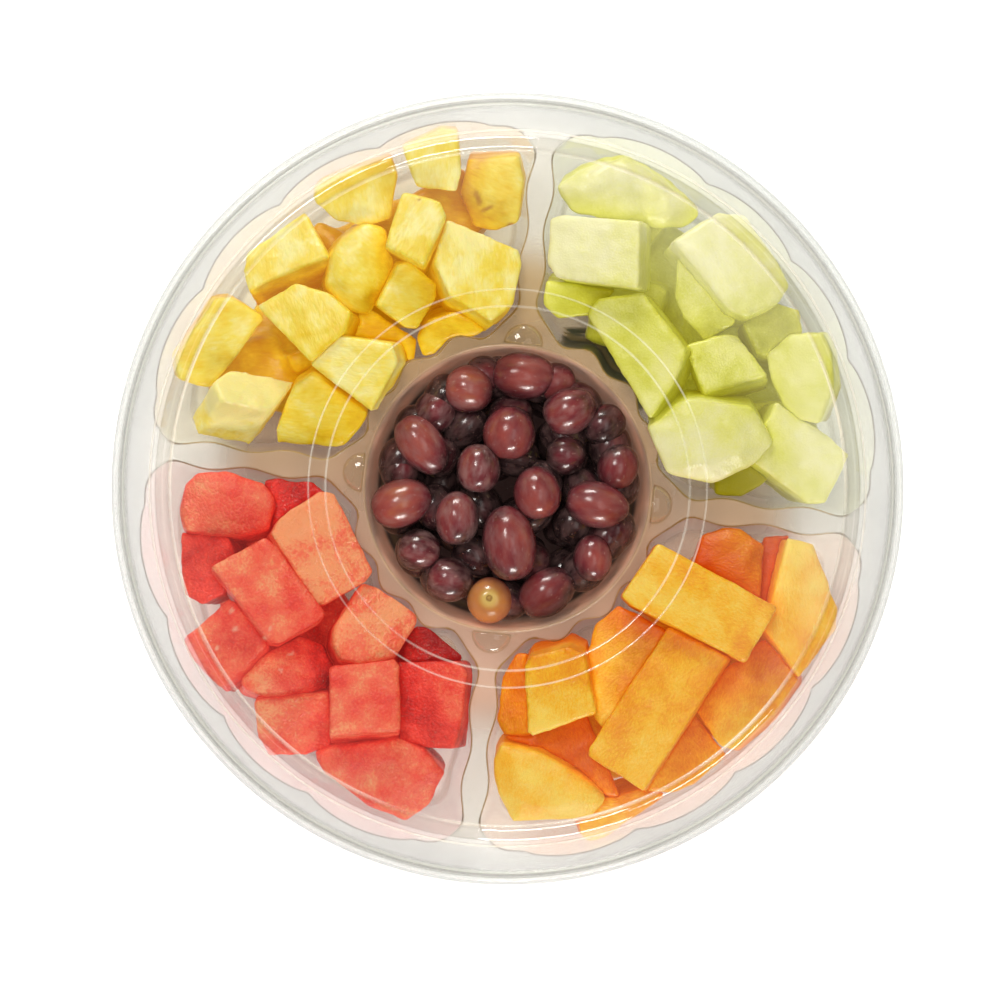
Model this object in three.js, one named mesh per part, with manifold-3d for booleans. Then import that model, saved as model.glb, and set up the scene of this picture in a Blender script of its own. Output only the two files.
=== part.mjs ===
// Fruit platter in a clear round five-compartment tray with its dome lid clipped on.
// Millimetres, +Z up. The tray's two dividers lie on the X and Y axes, and it
// stands on the flat floors of its wells, at z = 0, about the Z axis.

import * as THREE from 'three';
import { ConvexGeometry } from 'three/addons/geometries/ConvexGeometry.js';
import { mergeVertices } from 'three/addons/utils/BufferGeometryUtils.js';
import Module from 'manifold-3d';

const wasm = await Module();
wasm.setup();

// ---------------------------------------------------------------- dimensions

const SHEET = 0.8;            // thickness of the tray's formed sheet
const LID_SHEET = 0.7;        // thickness of the lid's formed sheet
const DECK = 44;              // height of the tray's deck
const GAP = 0.3;              // air left between pieces that touch
const TURNS = 48;             // sides of the tray's and lid's round forms

const WELL_OUTER = 139;       // radius of a well's outer wall between its lobes
const LOBE_DEPTH = 3.5;       // how far the four outer lobes stand out
const LOBE_PITCH = 18;        // degrees from one outer lobe to the next
const WELL_INNER = 60;        // radius of a well's inner wall
const INNER_WAVE = 1.8;       // waves of the inner wall
const INNER_PITCH = 20;       // degrees from one of those waves to the next
const DIVIDER = 4.4;          // half width of a divider
const SIDE_WAVE = 1.1;        // waves of the walls along the dividers
const SIDE_PITCH = 30;        // length of one of those waves
const WAVE_START = 115;       // radius at which the divider is widest
const CORNER = 13;            // radius of a well's corners
const OUTER_DRAFT = 11;       // how far the outer wall leans in, top to floor
const SIDE_DRAFT = 4;         // the same for the other walls
const WELL_HEART = 104;       // radius at which a well's middle lies
const FLOOR_EDGE = 4.5;       // height of the slope round every floor
const FLOOR_INSET = 4;        // how far that slope goes in

const CUP_RADIUS = 54.6;      // middle well, at the deck
const CUP_DRAFT = 5;          // how far its wall leans in
const LUG_RADIUS = 7.6;       // half-round lugs at the middle well's edge
const LUG_HEIGHT = 3;

const SKIRT_TOP = 149.1;      // outer radius of the skirt that hangs from the deck
const SKIRT_FLARE = 1.1;      // how much wider it is at its foot
const SKIRT_FOOT = 38.4;      // height at which it ends

const RIM_RADIUS = 152.5;     // lid's outer lip, the widest point
const LIP_FOOT = 38;          // height at which the lip begins
const LID_TOP = 64.5;         // flat top of the lid
const BEAD_TOP = 66.8;        // raised ring at the lid's shoulder
const PANEL_TOP = 62;         // sunk round panel in the lid's middle
const PANEL_RADIUS = 69.3;    // its edge, and the foot of the step round it
const STEP_RADIUS = 75.8;     // top of that step
const BEAD_INNER = 128.5;     // foot of the raised ring on its inner side
const BEAD_OUTER = 136.4;     // the same on its outer side, where the slope begins
const SLOPE_FOOT = 147.6;     // foot of the lid's slope

const CHUNK = 25;             // thickness of a hand-cut chunk
const CROWN_REACH = 0.55;     // how much of a crowned chunk's top is raised

const BED_INNER = 76;         // core of the layer under the chunks that show
const BED_OUTER = 122;
const BED_TOP = 13;
const HEAP_RADIUS = 42;       // core of the heap of grapes
const HEAP_SHOULDER = 24;     // height up to which its side is upright
const HEAP_TOP = 39;

// ------------------------------------------------------------------- helpers

const rad = THREE.MathUtils.degToRad;

function seeded(seed) {
  let state = seed >>> 0;
  return () => {
    state = (Math.imul(state, 1664525) + 1013904223) >>> 0;
    return state / 4294967296;
  };
}

function solidOf(geometry) {
  const bare = geometry.clone();
  bare.deleteAttribute('normal');
  bare.deleteAttribute('uv');
  const merged = mergeVertices(bare, 1e-4);
  return new wasm.Manifold(new wasm.Mesh({
    numProp: 3,
    vertProperties: new Float32Array(merged.attributes.position.array),
    triVerts: new Uint32Array(merged.index.array),
  }));
}

function geometryOf(solid) {
  const mesh = solid.getMesh();
  const geometry = new THREE.BufferGeometry();
  geometry.setAttribute('position', new THREE.BufferAttribute(new Float32Array(mesh.vertProperties), 3));
  geometry.setIndex(new THREE.BufferAttribute(new Uint32Array(mesh.triVerts), 1));
  geometry.computeVertexNormals();
  return geometry;
}

function largestOf(solid) {
  const bodies = solid.decompose();
  bodies.sort((a, b) => b.volume() - a.volume());
  return bodies[0];
}

// A closed solid through rings of points, lowest ring first, each ring with as
// many points, run counterclockwise, and both ends closed by a fan.
function loft(rings) {
  const count = rings[0].length;
  const points = rings.flat();
  const faces = [];
  for (let level = 0; level + 1 < rings.length; level += 1) {
    for (let i = 0; i < count; i += 1) {
      const j = (i + 1) % count;
      const a = level * count + i;
      const b = level * count + j;
      faces.push(a, b, b + count, a, b + count, a + count);
    }
  }
  const ends = [[rings[0], 0, false], [rings.at(-1), points.length - count, true]];
  for (const [ring, start, upward] of ends) {
    const middle = ring.reduce((sum, p) => sum.add(p), new THREE.Vector3()).divideScalar(count);
    points.push(middle);
    for (let i = 0; i < count; i += 1) {
      const j = (i + 1) % count;
      const pair = upward ? [start + i, start + j] : [start + j, start + i];
      faces.push(points.length - 1, ...pair);
    }
  }
  const geometry = new THREE.BufferGeometry();
  const places = points.flatMap((p) => [p.x, p.y, p.z]);
  geometry.setAttribute('position', new THREE.Float32BufferAttribute(places, 3));
  geometry.setIndex(faces);
  return solidOf(geometry);
}

// A turned solid from its profile of [radius, height] points, which starts and
// ends on the axis or else is closed here.
function turned(profile, sides = TURNS) {
  const points = profile.map(([r, z]) => new THREE.Vector2(r, z));
  if (profile[0][0] > 0) points.push(points[0].clone());
  const geometry = new THREE.LatheGeometry(points, sides);
  geometry.rotateX(Math.PI / 2);
  const solid = solidOf(geometry);
  return solid.volume() > 0 ? solid : solidOf(flipped(geometry));
}

function flipped(geometry) {
  const index = geometry.index.array;
  for (let i = 0; i < index.length; i += 3) {
    [index[i], index[i + 1]] = [index[i + 1], index[i]];
  }
  return geometry;
}

// ---------------------------------------------------------------------- tray

// How far a point lies outside one quarter well, as if its corners were
// rounded: the four walls' distances are joined as a circle of CORNER radius.
// `sunk` runs from 0 at the deck to 1 at the floor.
function outsideWell(x, y, sunk, inset) {
  const radius = Math.hypot(x, y);
  const angle = THREE.MathUtils.radToDeg(Math.atan2(y, x)) - 45;
  const onLobes = Math.abs(angle) < 2 * LOBE_PITCH;
  const lobe = onLobes ? Math.abs(Math.sin(rad((angle * 180) / LOBE_PITCH))) ** 0.6 : 0;
  const side = DIVIDER + SIDE_WAVE * Math.cos((2 * Math.PI * (WAVE_START - radius)) / SIDE_PITCH);
  const inner = WELL_INNER + INNER_WAVE * Math.cos(rad((angle * 360) / INNER_PITCH));
  const walls = [
    radius - WELL_OUTER - LOBE_DEPTH * lobe * (1 - 0.5 * sunk) + OUTER_DRAFT * sunk,
    inner + SIDE_DRAFT * sunk - radius,
    side + SIDE_DRAFT * sunk - x,
    side + SIDE_DRAFT * sunk - y,
  ];
  const reach = walls.map((d) => Math.max(d + inset + CORNER, 0));
  return Math.hypot(...reach) - CORNER;
}

// Where the outline is sampled, as [radius, angle from the well's middle line]:
// four points on each lobe, two on each wave, and a few round each corner.
function outlineTargets() {
  const half = [];
  for (let a = 0; a <= 2 * LOBE_PITCH; a += LOBE_PITCH / 4) half.push([WELL_OUTER, a]);
  half.push([WELL_OUTER - 3, 39.5], [WELL_OUTER - 6, 42], [WELL_OUTER - 10, 43.5]);
  for (let r = WAVE_START; r > WELL_INNER + CORNER; r -= SIDE_PITCH / 2) {
    half.push([r, 45 - THREE.MathUtils.radToDeg(DIVIDER / r)]);
  }
  half.push([WELL_INNER + 10, 39.5], [WELL_INNER + 4, 35]);
  for (let a = 30; a > 0; a -= INNER_PITCH / 2) half.push([WELL_INNER, a]);
  const other = half.slice(1).reverse().map(([r, a]) => [r, -a]);
  return [...half, [WELL_INNER, 0], ...other];
}

// One level of a well: rays from its middle through the sampled points, each
// stopped where it meets the wall.
function wellRing(z, sunk, inset) {
  const heart = new THREE.Vector2(WELL_HEART * Math.SQRT1_2, WELL_HEART * Math.SQRT1_2);
  return outlineTargets().map(([radius, angle]) => {
    const turn = rad(45 + angle);
    const ray = new THREE.Vector2(radius * Math.cos(turn), radius * Math.sin(turn)).sub(heart).normalize();
    let near = 0;
    let far = 90;
    for (let step = 0; step < 30; step += 1) {
      const reach = (near + far) / 2;
      if (outsideWell(heart.x + reach * ray.x, heart.y + reach * ray.y, sunk, inset) > 0) far = reach;
      else near = reach;
    }
    return new THREE.Vector3(heart.x + near * ray.x, heart.y + near * ray.y, z);
  });
}

// A well's form, from its floor to the height `top` of its mouth, and a short
// straight way on.
function wellForm(inset, floor, top) {
  return loft([
    wellRing(floor, 1, inset + FLOOR_INSET),
    wellRing(floor + FLOOR_EDGE, 1 - FLOOR_EDGE / DECK, inset),
    wellRing(top, 0, inset),
    wellRing(top + SHEET / 2, 0, inset),
  ]);
}

function cupForm(inset, floor, top, onward = SHEET / 2) {
  return turned([
    [0, floor],
    [CUP_RADIUS - CUP_DRAFT - inset - FLOOR_INSET, floor],
    [CUP_RADIUS - CUP_DRAFT - inset, floor + FLOOR_EDGE],
    [CUP_RADIUS - inset, top],
    [CUP_RADIUS - inset, top + onward],
    [0, top + onward],
  ], 32);
}

// A flattened half dome that stands on the deck at the middle well's edge.
function lugForm(inset, below) {
  const dome = new THREE.SphereGeometry(1, 8, 4);
  dome.scale(LUG_RADIUS - inset, LUG_RADIUS - inset, LUG_HEIGHT - inset);
  dome.translate(CUP_RADIUS + 1, 0, DECK - below);
  return solidOf(dome);
}

function aroundTray(solid) {
  return [0, 90, 180, 270].map((turn) => solid.rotate([0, 0, turn]));
}

function traySolid() {
  let tray = turned([
    [0, DECK - SHEET],
    [SKIRT_TOP - SHEET, DECK - SHEET],
    [SKIRT_TOP + SKIRT_FLARE - SHEET, SKIRT_FOOT],
    [SKIRT_TOP + SKIRT_FLARE, SKIRT_FOOT],
    [SKIRT_TOP, DECK],
    [0, DECK],
  ]);
  for (const well of aroundTray(wellForm(-SHEET, 0, DECK - SHEET))) tray = tray.add(well);
  tray = tray.add(cupForm(-SHEET, 0, DECK - SHEET));
  for (const lug of aroundTray(lugForm(0, 0))) tray = tray.add(lug);
  for (const hollow of aroundTray(lugForm(SHEET, SHEET))) tray = tray.subtract(hollow);
  for (const hollow of aroundTray(wellForm(0, SHEET, DECK))) tray = tray.subtract(hollow);
  return largestOf(tray.subtract(cupForm(0, SHEET, DECK, 2 * LUG_HEIGHT)));
}

// ----------------------------------------------------------------------- lid

function lidSolid() {
  const outside = [
    [RIM_RADIUS, LIP_FOOT],
    [RIM_RADIUS, LIP_FOOT + 0.8],
    [RIM_RADIUS - 1.3, LIP_FOOT + 1.2],
    [SLOPE_FOOT + 2.5, DECK + 1.1],
    [SLOPE_FOOT, DECK + 1.3],
    [BEAD_OUTER, LID_TOP - 1.5],
    [BEAD_OUTER - 2.8, BEAD_TOP],
    [BEAD_INNER + 1.9, BEAD_TOP],
    [BEAD_INNER, LID_TOP],
    [STEP_RADIUS, LID_TOP],
    [PANEL_RADIUS, PANEL_TOP],
    [0, PANEL_TOP],
  ];
  const inside = [
    [0, PANEL_TOP - LID_SHEET],
    [PANEL_RADIUS - 0.2, PANEL_TOP - LID_SHEET],
    [STEP_RADIUS - 0.2, LID_TOP - LID_SHEET],
    [BEAD_INNER + 0.4, LID_TOP - LID_SHEET],
    [BEAD_INNER + 2.3, BEAD_TOP - LID_SHEET],
    [BEAD_OUTER - 3.2, BEAD_TOP - LID_SHEET],
    [BEAD_OUTER - 0.6, LID_TOP - 1.9],
    [SLOPE_FOOT - 0.6, DECK + 0.6],
    [SLOPE_FOOT + 1.9, DECK + 0.4],
    [SLOPE_FOOT + 3, LIP_FOOT],
  ];
  return turned([...inside, ...outside]);
}

// --------------------------------------------------------------------- fruit

// The corners of a chunk that was cut as a plain block.
function blockOutline([x, y], length, width, yaw) {
  return [[-1, -1], [1, -1], [1, 1], [-1, 1]].map(([u, v]) => {
    const corner = new THREE.Vector2((u * length) / 2, (v * width) / 2);
    corner.rotateAround(new THREE.Vector2(), rad(yaw));
    return [x + corner.x, y + corner.y];
  });
}

// One hand-cut chunk. `outline` is the edge of its cut top seen from above. The
// top leans by `lean` = [degrees, towards], so that it falls off that way, and
// the sides run down square to it, CHUNK long. `top` is its highest point, and
// `crown` rounds the middle up. `grow` moves every corner out by about that much.
function chunkSolid({ outline, lean, top, crown = 0 }, grow = 0) {
  const [tilt, towards] = lean.map(rad);
  const fall = new THREE.Vector2(Math.cos(towards), Math.sin(towards));
  const corners = outline.map(([x, y]) => new THREE.Vector2(x, y));
  const middle = corners.reduce((sum, p) => sum.add(p), new THREE.Vector2()).divideScalar(corners.length);
  const height = (p) => -Math.tan(tilt) * fall.dot(p);
  const crest = Math.max(...corners.map(height), height(middle) + crown);
  const points = [];
  for (const corner of corners) {
    const out = corner.clone().sub(middle).normalize().multiplyScalar(1.5 * grow);
    const place = corner.clone().add(out);
    const z = top - crest + height(corner);
    const foot = place.clone().addScaledVector(fall, -(CHUNK + grow) * Math.sin(tilt));
    points.push(new THREE.Vector3(place.x, place.y, z + grow));
    points.push(new THREE.Vector3(foot.x, foot.y, z - (CHUNK + grow) * Math.cos(tilt)));
    if (crown > 0) {
      const raised = corner.clone().lerp(middle, 1 - CROWN_REACH);
      points.push(new THREE.Vector3(raised.x, raised.y, top - crest + height(raised) + crown + grow));
    }
  }
  return solidOf(new ConvexGeometry(points));
}

const PINEAPPLE = [
  {
    top: 55, lean: [8, -80],
    outline: [[-54, 125], [-40, 134], [-34, 134], [-31, 118], [-32, 111], [-47, 111]],
  },
  {
    top: 46, lean: [10, -100], crown: 1,
    outline: [[-29, 124], [-10, 127], [-7, 119], [-7, 102], [-15, 98], [-24, 99], [-30, 110]],
  },
  {
    top: 50, lean: [12, -70],
    outline: [
      [-86, 105], [-83, 109], [-58, 121], [-55, 114],
      [-56, 98], [-66, 94], [-76, 95], [-85, 101],
    ],
  },
  {
    top: 61, lean: [6, 100],
    outline: [[-52, 108], [-38, 106], [-35, 101], [-41, 81], [-56, 87], [-55, 94]],
  },
  {
    top: 57, lean: [12, 60],
    outline: [[-34, 100], [-6, 91], [-4, 86], [-6, 70], [-13, 63], [-30, 71], [-37, 83]],
  },
  {
    top: 52, lean: [8, -20], crown: 3,
    outline: [
      [-65, 95], [-57, 94], [-52, 80], [-58, 72], [-60, 61],
      [-68, 60], [-77, 69], [-77, 81], [-72, 89],
    ],
  },
  {
    top: 50, lean: [22, 125],
    outline: [[-110, 72], [-109, 79], [-89, 97], [-78, 81], [-88, 80], [-107, 65]],
  },
  {
    top: 53, lean: [12, -30],
    outline: [[-51, 80], [-47, 82], [-36, 75], [-35, 70], [-41, 57], [-45, 57], [-57, 64]],
  },
  {
    top: 58, lean: [12, 160],
    outline: [[-103, 59], [-89, 69], [-77, 67], [-67, 60], [-69, 52], [-80, 40]],
  },
  {
    top: 48, lean: [10, -30],
    outline: [[-119, 60], [-112, 61], [-100, 55], [-109, 39], [-118, 26], [-130, 28], [-132, 36]],
  },
  {
    top: 56, lean: [40, 61],
    outline: [[-116, 28], [-111, 34], [-86, 32], [-93, 20], [-113, 22]],
  },
  {
    top: 59, lean: [9, 200],
    outline: [[-80, 39], [-71, 51], [-50, 50], [-47, 43], [-55, 24]],
  },
  {
    top: 46, lean: [12, -100],
    outline: [[-86, 30], [-79, 36], [-56, 23], [-58, 18], [-65, 9], [-90, 8], [-91, 13]],
  },
  {
    top: 42, lean: [10, 0],
    outline: [[-67, 58], [-60, 63], [-41, 53], [-41, 44], [-50, 42], [-66, 50]],
  },
  {
    top: 43, lean: [12, -100],
    outline: [[-38, 61], [-26, 66], [-12, 62], [-20, 56], [-28, 50], [-38, 47], [-41, 54]],
  },
];

const HONEYDEW = [
  {
    top: 45, lean: [10, -80], crown: 3,
    outline: [[6, 117], [16, 124], [31, 131], [47, 124], [62, 113], [57, 107], [40, 105], [13, 108]],
  },
  {
    top: 60, lean: [12, 180],
    outline: [[5, 104], [9, 106], [39, 107], [41, 81], [10, 82], [6, 87]],
  },
  {
    top: 54, lean: [12, 50], crown: 2,
    outline: [
      [53, 101], [60, 105], [69, 114], [79, 114], [93, 98],
      [99, 89], [95, 82], [84, 75], [77, 77], [58, 96],
    ],
  },
  {
    top: 47, lean: [10, -150],
    outline: [[55, 95], [62, 94], [80, 78], [79, 72], [69, 65], [60, 73], [56, 80]],
  },
  {
    top: 56, lean: [12, 170],
    outline: [[23, 70], [27, 76], [43, 80], [62, 60], [59, 48], [51, 33]],
  },
  {
    top: 51, lean: [12, 110],
    outline: [[61, 62], [76, 68], [81, 68], [94, 54], [71, 44]],
  },
  {
    top: 44, lean: [10, 90],
    outline: [[82, 74], [93, 83], [104, 80], [106, 72], [96, 61], [90, 62]],
  },
  {
    top: 48, lean: [12, 200], crown: 1,
    outline: [
      [93, 62], [101, 70], [113, 72], [118, 65], [120, 52],
      [116, 38], [109, 38], [102, 43], [96, 53],
    ],
  },
  {
    top: 56, lean: [10, -80], crown: 3,
    outline: [[51, 29], [65, 42], [90, 41], [99, 28], [92, 19], [78, 10], [60, 12]],
  },
  {
    top: 47, lean: [10, 10],
    outline: [[95, 34], [99, 44], [121, 33], [129, 27], [122, 8], [115, 7], [93, 20]],
  },
  {
    top: 41, lean: [10, -90],
    outline: [[6, 81], [33, 80], [25, 70], [12, 67], [6, 72]],
  },
  {
    top: 38, lean: [8, -60],
    outline: [[79, 13], [93, 20], [101, 15], [90, 7], [80, 6]],
  },
];

const WATERMELON = [
  {
    top: 51, lean: [8, 90], crown: 2,
    outline: [
      [-123, -12], [-119, -7], [-108, -5], [-93, -8], [-88, -14],
      [-89, -25], [-98, -29], [-121, -29], [-124, -22],
    ],
  },
  {
    top: 44, lean: [12, 100],
    outline: [[-93, -7], [-85, -5], [-75, -6], [-70, -9], [-73, -18], [-82, -27], [-90, -24]],
  },
  {
    top: 56, lean: [8, 40],
    outline: [
      [-88, -27], [-85, -21], [-71, -9], [-66, -9],
      [-48, -37], [-50, -41], [-64, -51], [-67, -52],
    ],
  },
  {
    top: 61, lean: [6, 60],
    outline: [[-109, -42], [-90, -29], [-86, -31], [-64, -55], [-66, -58], [-80, -68], [-84, -68]],
  },
  {
    top: 46, lean: [12, 180],
    outline: [
      [-123, -30], [-105, -30], [-100, -38], [-104, -52],
      [-112, -57], [-119, -54], [-122, -40],
    ],
  },
  {
    top: 50, lean: [12, 150],
    outline: [
      [-117, -71], [-102, -54], [-98, -54], [-85, -69],
      [-94, -81], [-101, -88], [-108, -83], [-115, -77],
    ],
  },
  {
    top: 54, lean: [10, 50], crown: 1,
    outline: [
      [-60, -60], [-51, -42], [-46, -43], [-29, -52], [-29, -56],
      [-36, -69], [-50, -73], [-56, -72], [-60, -66],
    ],
  },
  {
    top: 60, lean: [11, 90],
    outline: [[-60, -75], [-36, -70], [-34, -72], [-31, -96], [-57, -101]],
  },
  {
    top: 51, lean: [12, 180],
    outline: [[-35, -71], [-12, -68], [-8, -72], [-8, -90], [-10, -101], [-20, -102], [-31, -100]],
  },
  {
    top: 50, lean: [8, -80], crown: 2,
    outline: [
      [-62, -110], [-55, -106], [-31, -100], [-21, -103], [-12, -111],
      [-17, -124], [-25, -131], [-41, -126], [-58, -116],
    ],
  },
  {
    top: 46, lean: [10, -100],
    outline: [[-88, -92], [-78, -90], [-60, -86], [-57, -106], [-66, -110], [-80, -112], [-85, -105]],
  },
  {
    top: 43, lean: [8, 60], crown: 2,
    outline: [
      [-95, -83], [-87, -74], [-77, -65], [-64, -67], [-59, -75],
      [-59, -85], [-72, -89], [-83, -90], [-92, -88],
    ],
  },
  {
    top: 41, lean: [12, 60],
    outline: [[-33, -69], [-31, -57], [-25, -56], [-10, -66], [-11, -72], [-30, -72]],
  },
];

const CANTALOUPE = [
  {
    top: 61, lean: [2, 80],
    outline: [[48, -36], [59, -15], [61, -15], [107, -34], [97, -56], [52, -39]],
  },
  {
    top: 57, lean: [6, 150],
    outline: [[67, -46], [91, -55], [64, -109], [62, -108], [42, -98], [42, -95]],
  },
  {
    top: 58, lean: [13, -100],
    outline: [[14, -67], [16, -63], [30, -58], [36, -60], [43, -82], [20, -93], [18, -92]],
  },
  {
    top: 50, lean: [12, 150],
    outline: [[39, -48], [47, -40], [66, -47], [67, -50], [52, -76], [46, -87], [43, -84], [37, -63]],
  },
  {
    top: 46, lean: [8, 90], crown: 2,
    outline: [[74, -22], [76, -10], [84, -6], [91, -6], [100, -11], [101, -31]],
  },
  {
    top: 39, lean: [8, 90],
    outline: [[100, -8], [110, -6], [112, -22], [109, -33], [100, -33]],
  },
  {
    top: 49, lean: [10, 20], crown: 1,
    outline: [
      [109, -7], [119, -9], [122, -16], [131, -32], [131, -40],
      [124, -50], [119, -60], [104, -43], [108, -33],
    ],
  },
  {
    top: 47, lean: [10, 160],
    outline: [
      [80, -76], [89, -62], [104, -47], [117, -57],
      [119, -61], [110, -76], [97, -90], [92, -89],
    ],
  },
  {
    top: 49, lean: [10, -100], crown: 3,
    outline: [
      [6, -104], [8, -98], [25, -100], [40, -107], [50, -114],
      [46, -122], [36, -124], [16, -127], [9, -117],
    ],
  },
  {
    top: 40, lean: [10, -60],
    outline: [
      [41, -125], [50, -115], [64, -109], [73, -111],
      [60, -121], [53, -129], [47, -133], [43, -130],
    ],
  },
  {
    top: 43, lean: [8, -30],
    outline: [[68, -100], [80, -78], [95, -93], [84, -105], [76, -109], [66, -110]],
  },
  {
    top: 43, lean: [10, 180],
    outline: [[6, -72], [10, -63], [15, -62], [19, -93], [9, -94], [5, -88]],
  },
  {
    top: 41, lean: [8, 90],
    outline: [[12, -86], [40, -83], [46, -95], [56, -113], [48, -113], [26, -101], [9, -98]],
  },
];

// Everything a chunk in the tray must keep out of: the body round the wells,
// up to just over the deck, where chunks may lie across the edge.
function wallsRoundFruit() {
  let walls = turned([[0, -1], [SKIRT_TOP, -1], [SKIRT_TOP, DECK + GAP], [0, DECK + GAP]]);
  for (const well of aroundTray(wellForm(GAP, SHEET + GAP, DECK + GAP))) walls = walls.subtract(well);
  return walls;
}

// Cuts the chunks free of each other: the higher one keeps its form, and the
// softer one beneath is pressed in by it, with air left between them.
function settle(pieces, walls) {
  const order = [...pieces].sort((a, b) => b.top - a.top);
  const above = [];
  for (const piece of order) {
    let solid = chunkSolid(piece).subtract(walls);
    for (const other of above) solid = solid.subtract(other);
    piece.solid = largestOf(solid);
    above.push(chunkSolid(piece, GAP));
  }
  return above;
}

// The layer under the chunks that show: a core over the well's floor with a
// row of half-seen chunks fused on, hollowed where the upper chunks sit.
function bedSolid(quarter, seed, above, walls) {
  const random = seeded(seed);
  const middle = rad(45 + 90 * quarter);
  const foot = SHEET + GAP;
  let bed = turned([[BED_INNER, foot], [BED_OUTER, foot], [BED_OUTER, BED_TOP], [BED_INNER, BED_TOP]], 24);
  const wedge = [];
  for (const [r, a] of [[0, 0], [190, -33], [210, 0], [190, 33]]) {
    wedge.push(new THREE.Vector2(r * Math.cos(middle + rad(a)), r * Math.sin(middle + rad(a))));
  }
  const quadrant = new THREE.ExtrudeGeometry(new THREE.Shape(wedge), { depth: 40, bevelEnabled: false });
  bed = bed.intersect(solidOf(quadrant));
  for (const [radius, count, spread] of [[82, 2, 17], [110, 3, 27]]) {
    for (let i = 0; i < count; i += 1) {
      const angle = middle + rad(spread * ((2 * i) / (count - 1) - 1));
      const at = [radius * Math.cos(angle), radius * Math.sin(angle)];
      const piece = {
        outline: blockOutline(at, 26 + 4 * random(), 23 + 4 * random(), 90 * random()),
        lean: [14 * random(), 360 * random()],
        top: 25 + 5 * random(),
      };
      bed = bed.add(chunkSolid(piece, GAP));
    }
  }
  bed = bed.subtract(walls);
  for (const piece of above) bed = bed.subtract(piece);
  return largestOf(bed);
}

// Grapes that show: [x, y, length, width, yaw, height of the crest].
const GRAPES = [
  [1.5, 44, 25, 18.5, 5, 43],
  [-19, 36.5, 19, 18.5, 0, 44],
  [20.5, 32.5, 21, 18, 35, 45],
  [-1.5, 21.5, 21, 20.5, 90, 49],
  [-34.5, 13, 25.5, 17, -45, 45],
  [-12, 6.5, 19, 17, 90, 49],
  [21, 15.5, 16, 16, 0, 41],
  [41.5, 13, 18, 16, 80, 42],
  [-40, -10, 24, 19, 25, 44],
  [-18, -13.5, 21, 17, 95, 48],
  [11.5, -0.5, 20.5, 18.5, 110, 49],
  [35, -2.5, 25, 18, -5, 46],
  [3, -21, 29, 21, 105, 50],
  [-31.5, -27.5, 17, 16.5, 0, 42],
  [35.5, -23, 18.5, 15.5, 95, 43],
  [19.5, -38, 24, 18, 40, 43],
  [-18.5, -37.5, 18.5, 17.5, 0, 42],
  [-2, -43.5, 18, 18, 0, 42],
];

function grapeSolid([x, y, length, width, yaw, crest]) {
  const grape = new THREE.SphereGeometry(1, 7, 4);
  grape.rotateZ(Math.PI / 2);
  grape.scale(length / 2, width / 2, width / 2);
  grape.rotateZ(rad(yaw));
  grape.translate(x, y, crest - width / 2);
  return solidOf(grape);
}

// A heap in the middle well: a core with the grapes that show fused on, then
// a ring of half-hidden ones against the well's wall.
function grapesSolid() {
  let heap = turned([
    [0, SHEET + GAP],
    [HEAP_RADIUS - 4, SHEET + GAP],
    [HEAP_RADIUS, SHEET + GAP + 7],
    [HEAP_RADIUS, HEAP_SHOULDER],
    [HEAP_RADIUS - 8, HEAP_TOP - 4],
    [0, HEAP_TOP],
  ], 14);
  const random = seeded(77);
  const shown = [...GRAPES];
  const hidden = 4;
  for (let i = 0; i < hidden; i += 1) {
    const turn = 360 * ((i + 0.35 * random()) / hidden);
    const spot = new THREE.Vector2(HEAP_RADIUS - 2, 0).rotateAround(new THREE.Vector2(), rad(turn));
    shown.push([spot.x, spot.y, 18 + 3 * random(), 16.5, turn + 60 + 50 * random(), 33 + 2 * random()]);
  }
  for (const grape of shown) heap = heap.add(grapeSolid(grape));
  return largestOf(heap.intersect(cupForm(GAP, SHEET + GAP, DECK, 12)));
}

// ------------------------------------------------------------------ assembly

const platter = new THREE.Group();

function addNode(parent, name, solid, look) {
  const mesh = new THREE.Mesh(geometryOf(solid), new THREE.MeshStandardMaterial(look));
  mesh.name = name;
  parent.add(mesh);
}

const CLEAR = { color: 0xe9ebe8, roughness: 0.08, metalness: 0, transparent: true, opacity: 0.25 };
addNode(platter, 'tray', traySolid(), CLEAR);
addNode(platter, 'lid', lidSolid(), CLEAR);
addNode(platter, 'grapes', grapesSolid(), { color: 0x6b2a33, roughness: 0.3, metalness: 0 });

const FRUIT = [
  { name: 'honeydew', pieces: HONEYDEW, color: 0xe4e58a, roughness: 0.35 },
  { name: 'pineapple', pieces: PINEAPPLE, color: 0xf3d84e, roughness: 0.45 },
  { name: 'watermelon', pieces: WATERMELON, color: 0xe2493a, roughness: 0.35 },
  { name: 'cantaloupe', pieces: CANTALOUPE, color: 0xf3a02c, roughness: 0.35 },
];

const walls = wallsRoundFruit();
FRUIT.forEach(({ name, pieces, color, roughness }, quarter) => {
  const group = new THREE.Group();
  const look = { color, roughness, metalness: 0 };
  const above = settle(pieces, walls);
  pieces.forEach((piece, i) => addNode(group, `${name}_${i + 1}`, piece.solid, look));
  addNode(group, `${name}_bed`, bedSolid(quarter, 500 + quarter, above, walls), look);
  platter.add(group);
});

export default platter;
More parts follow.
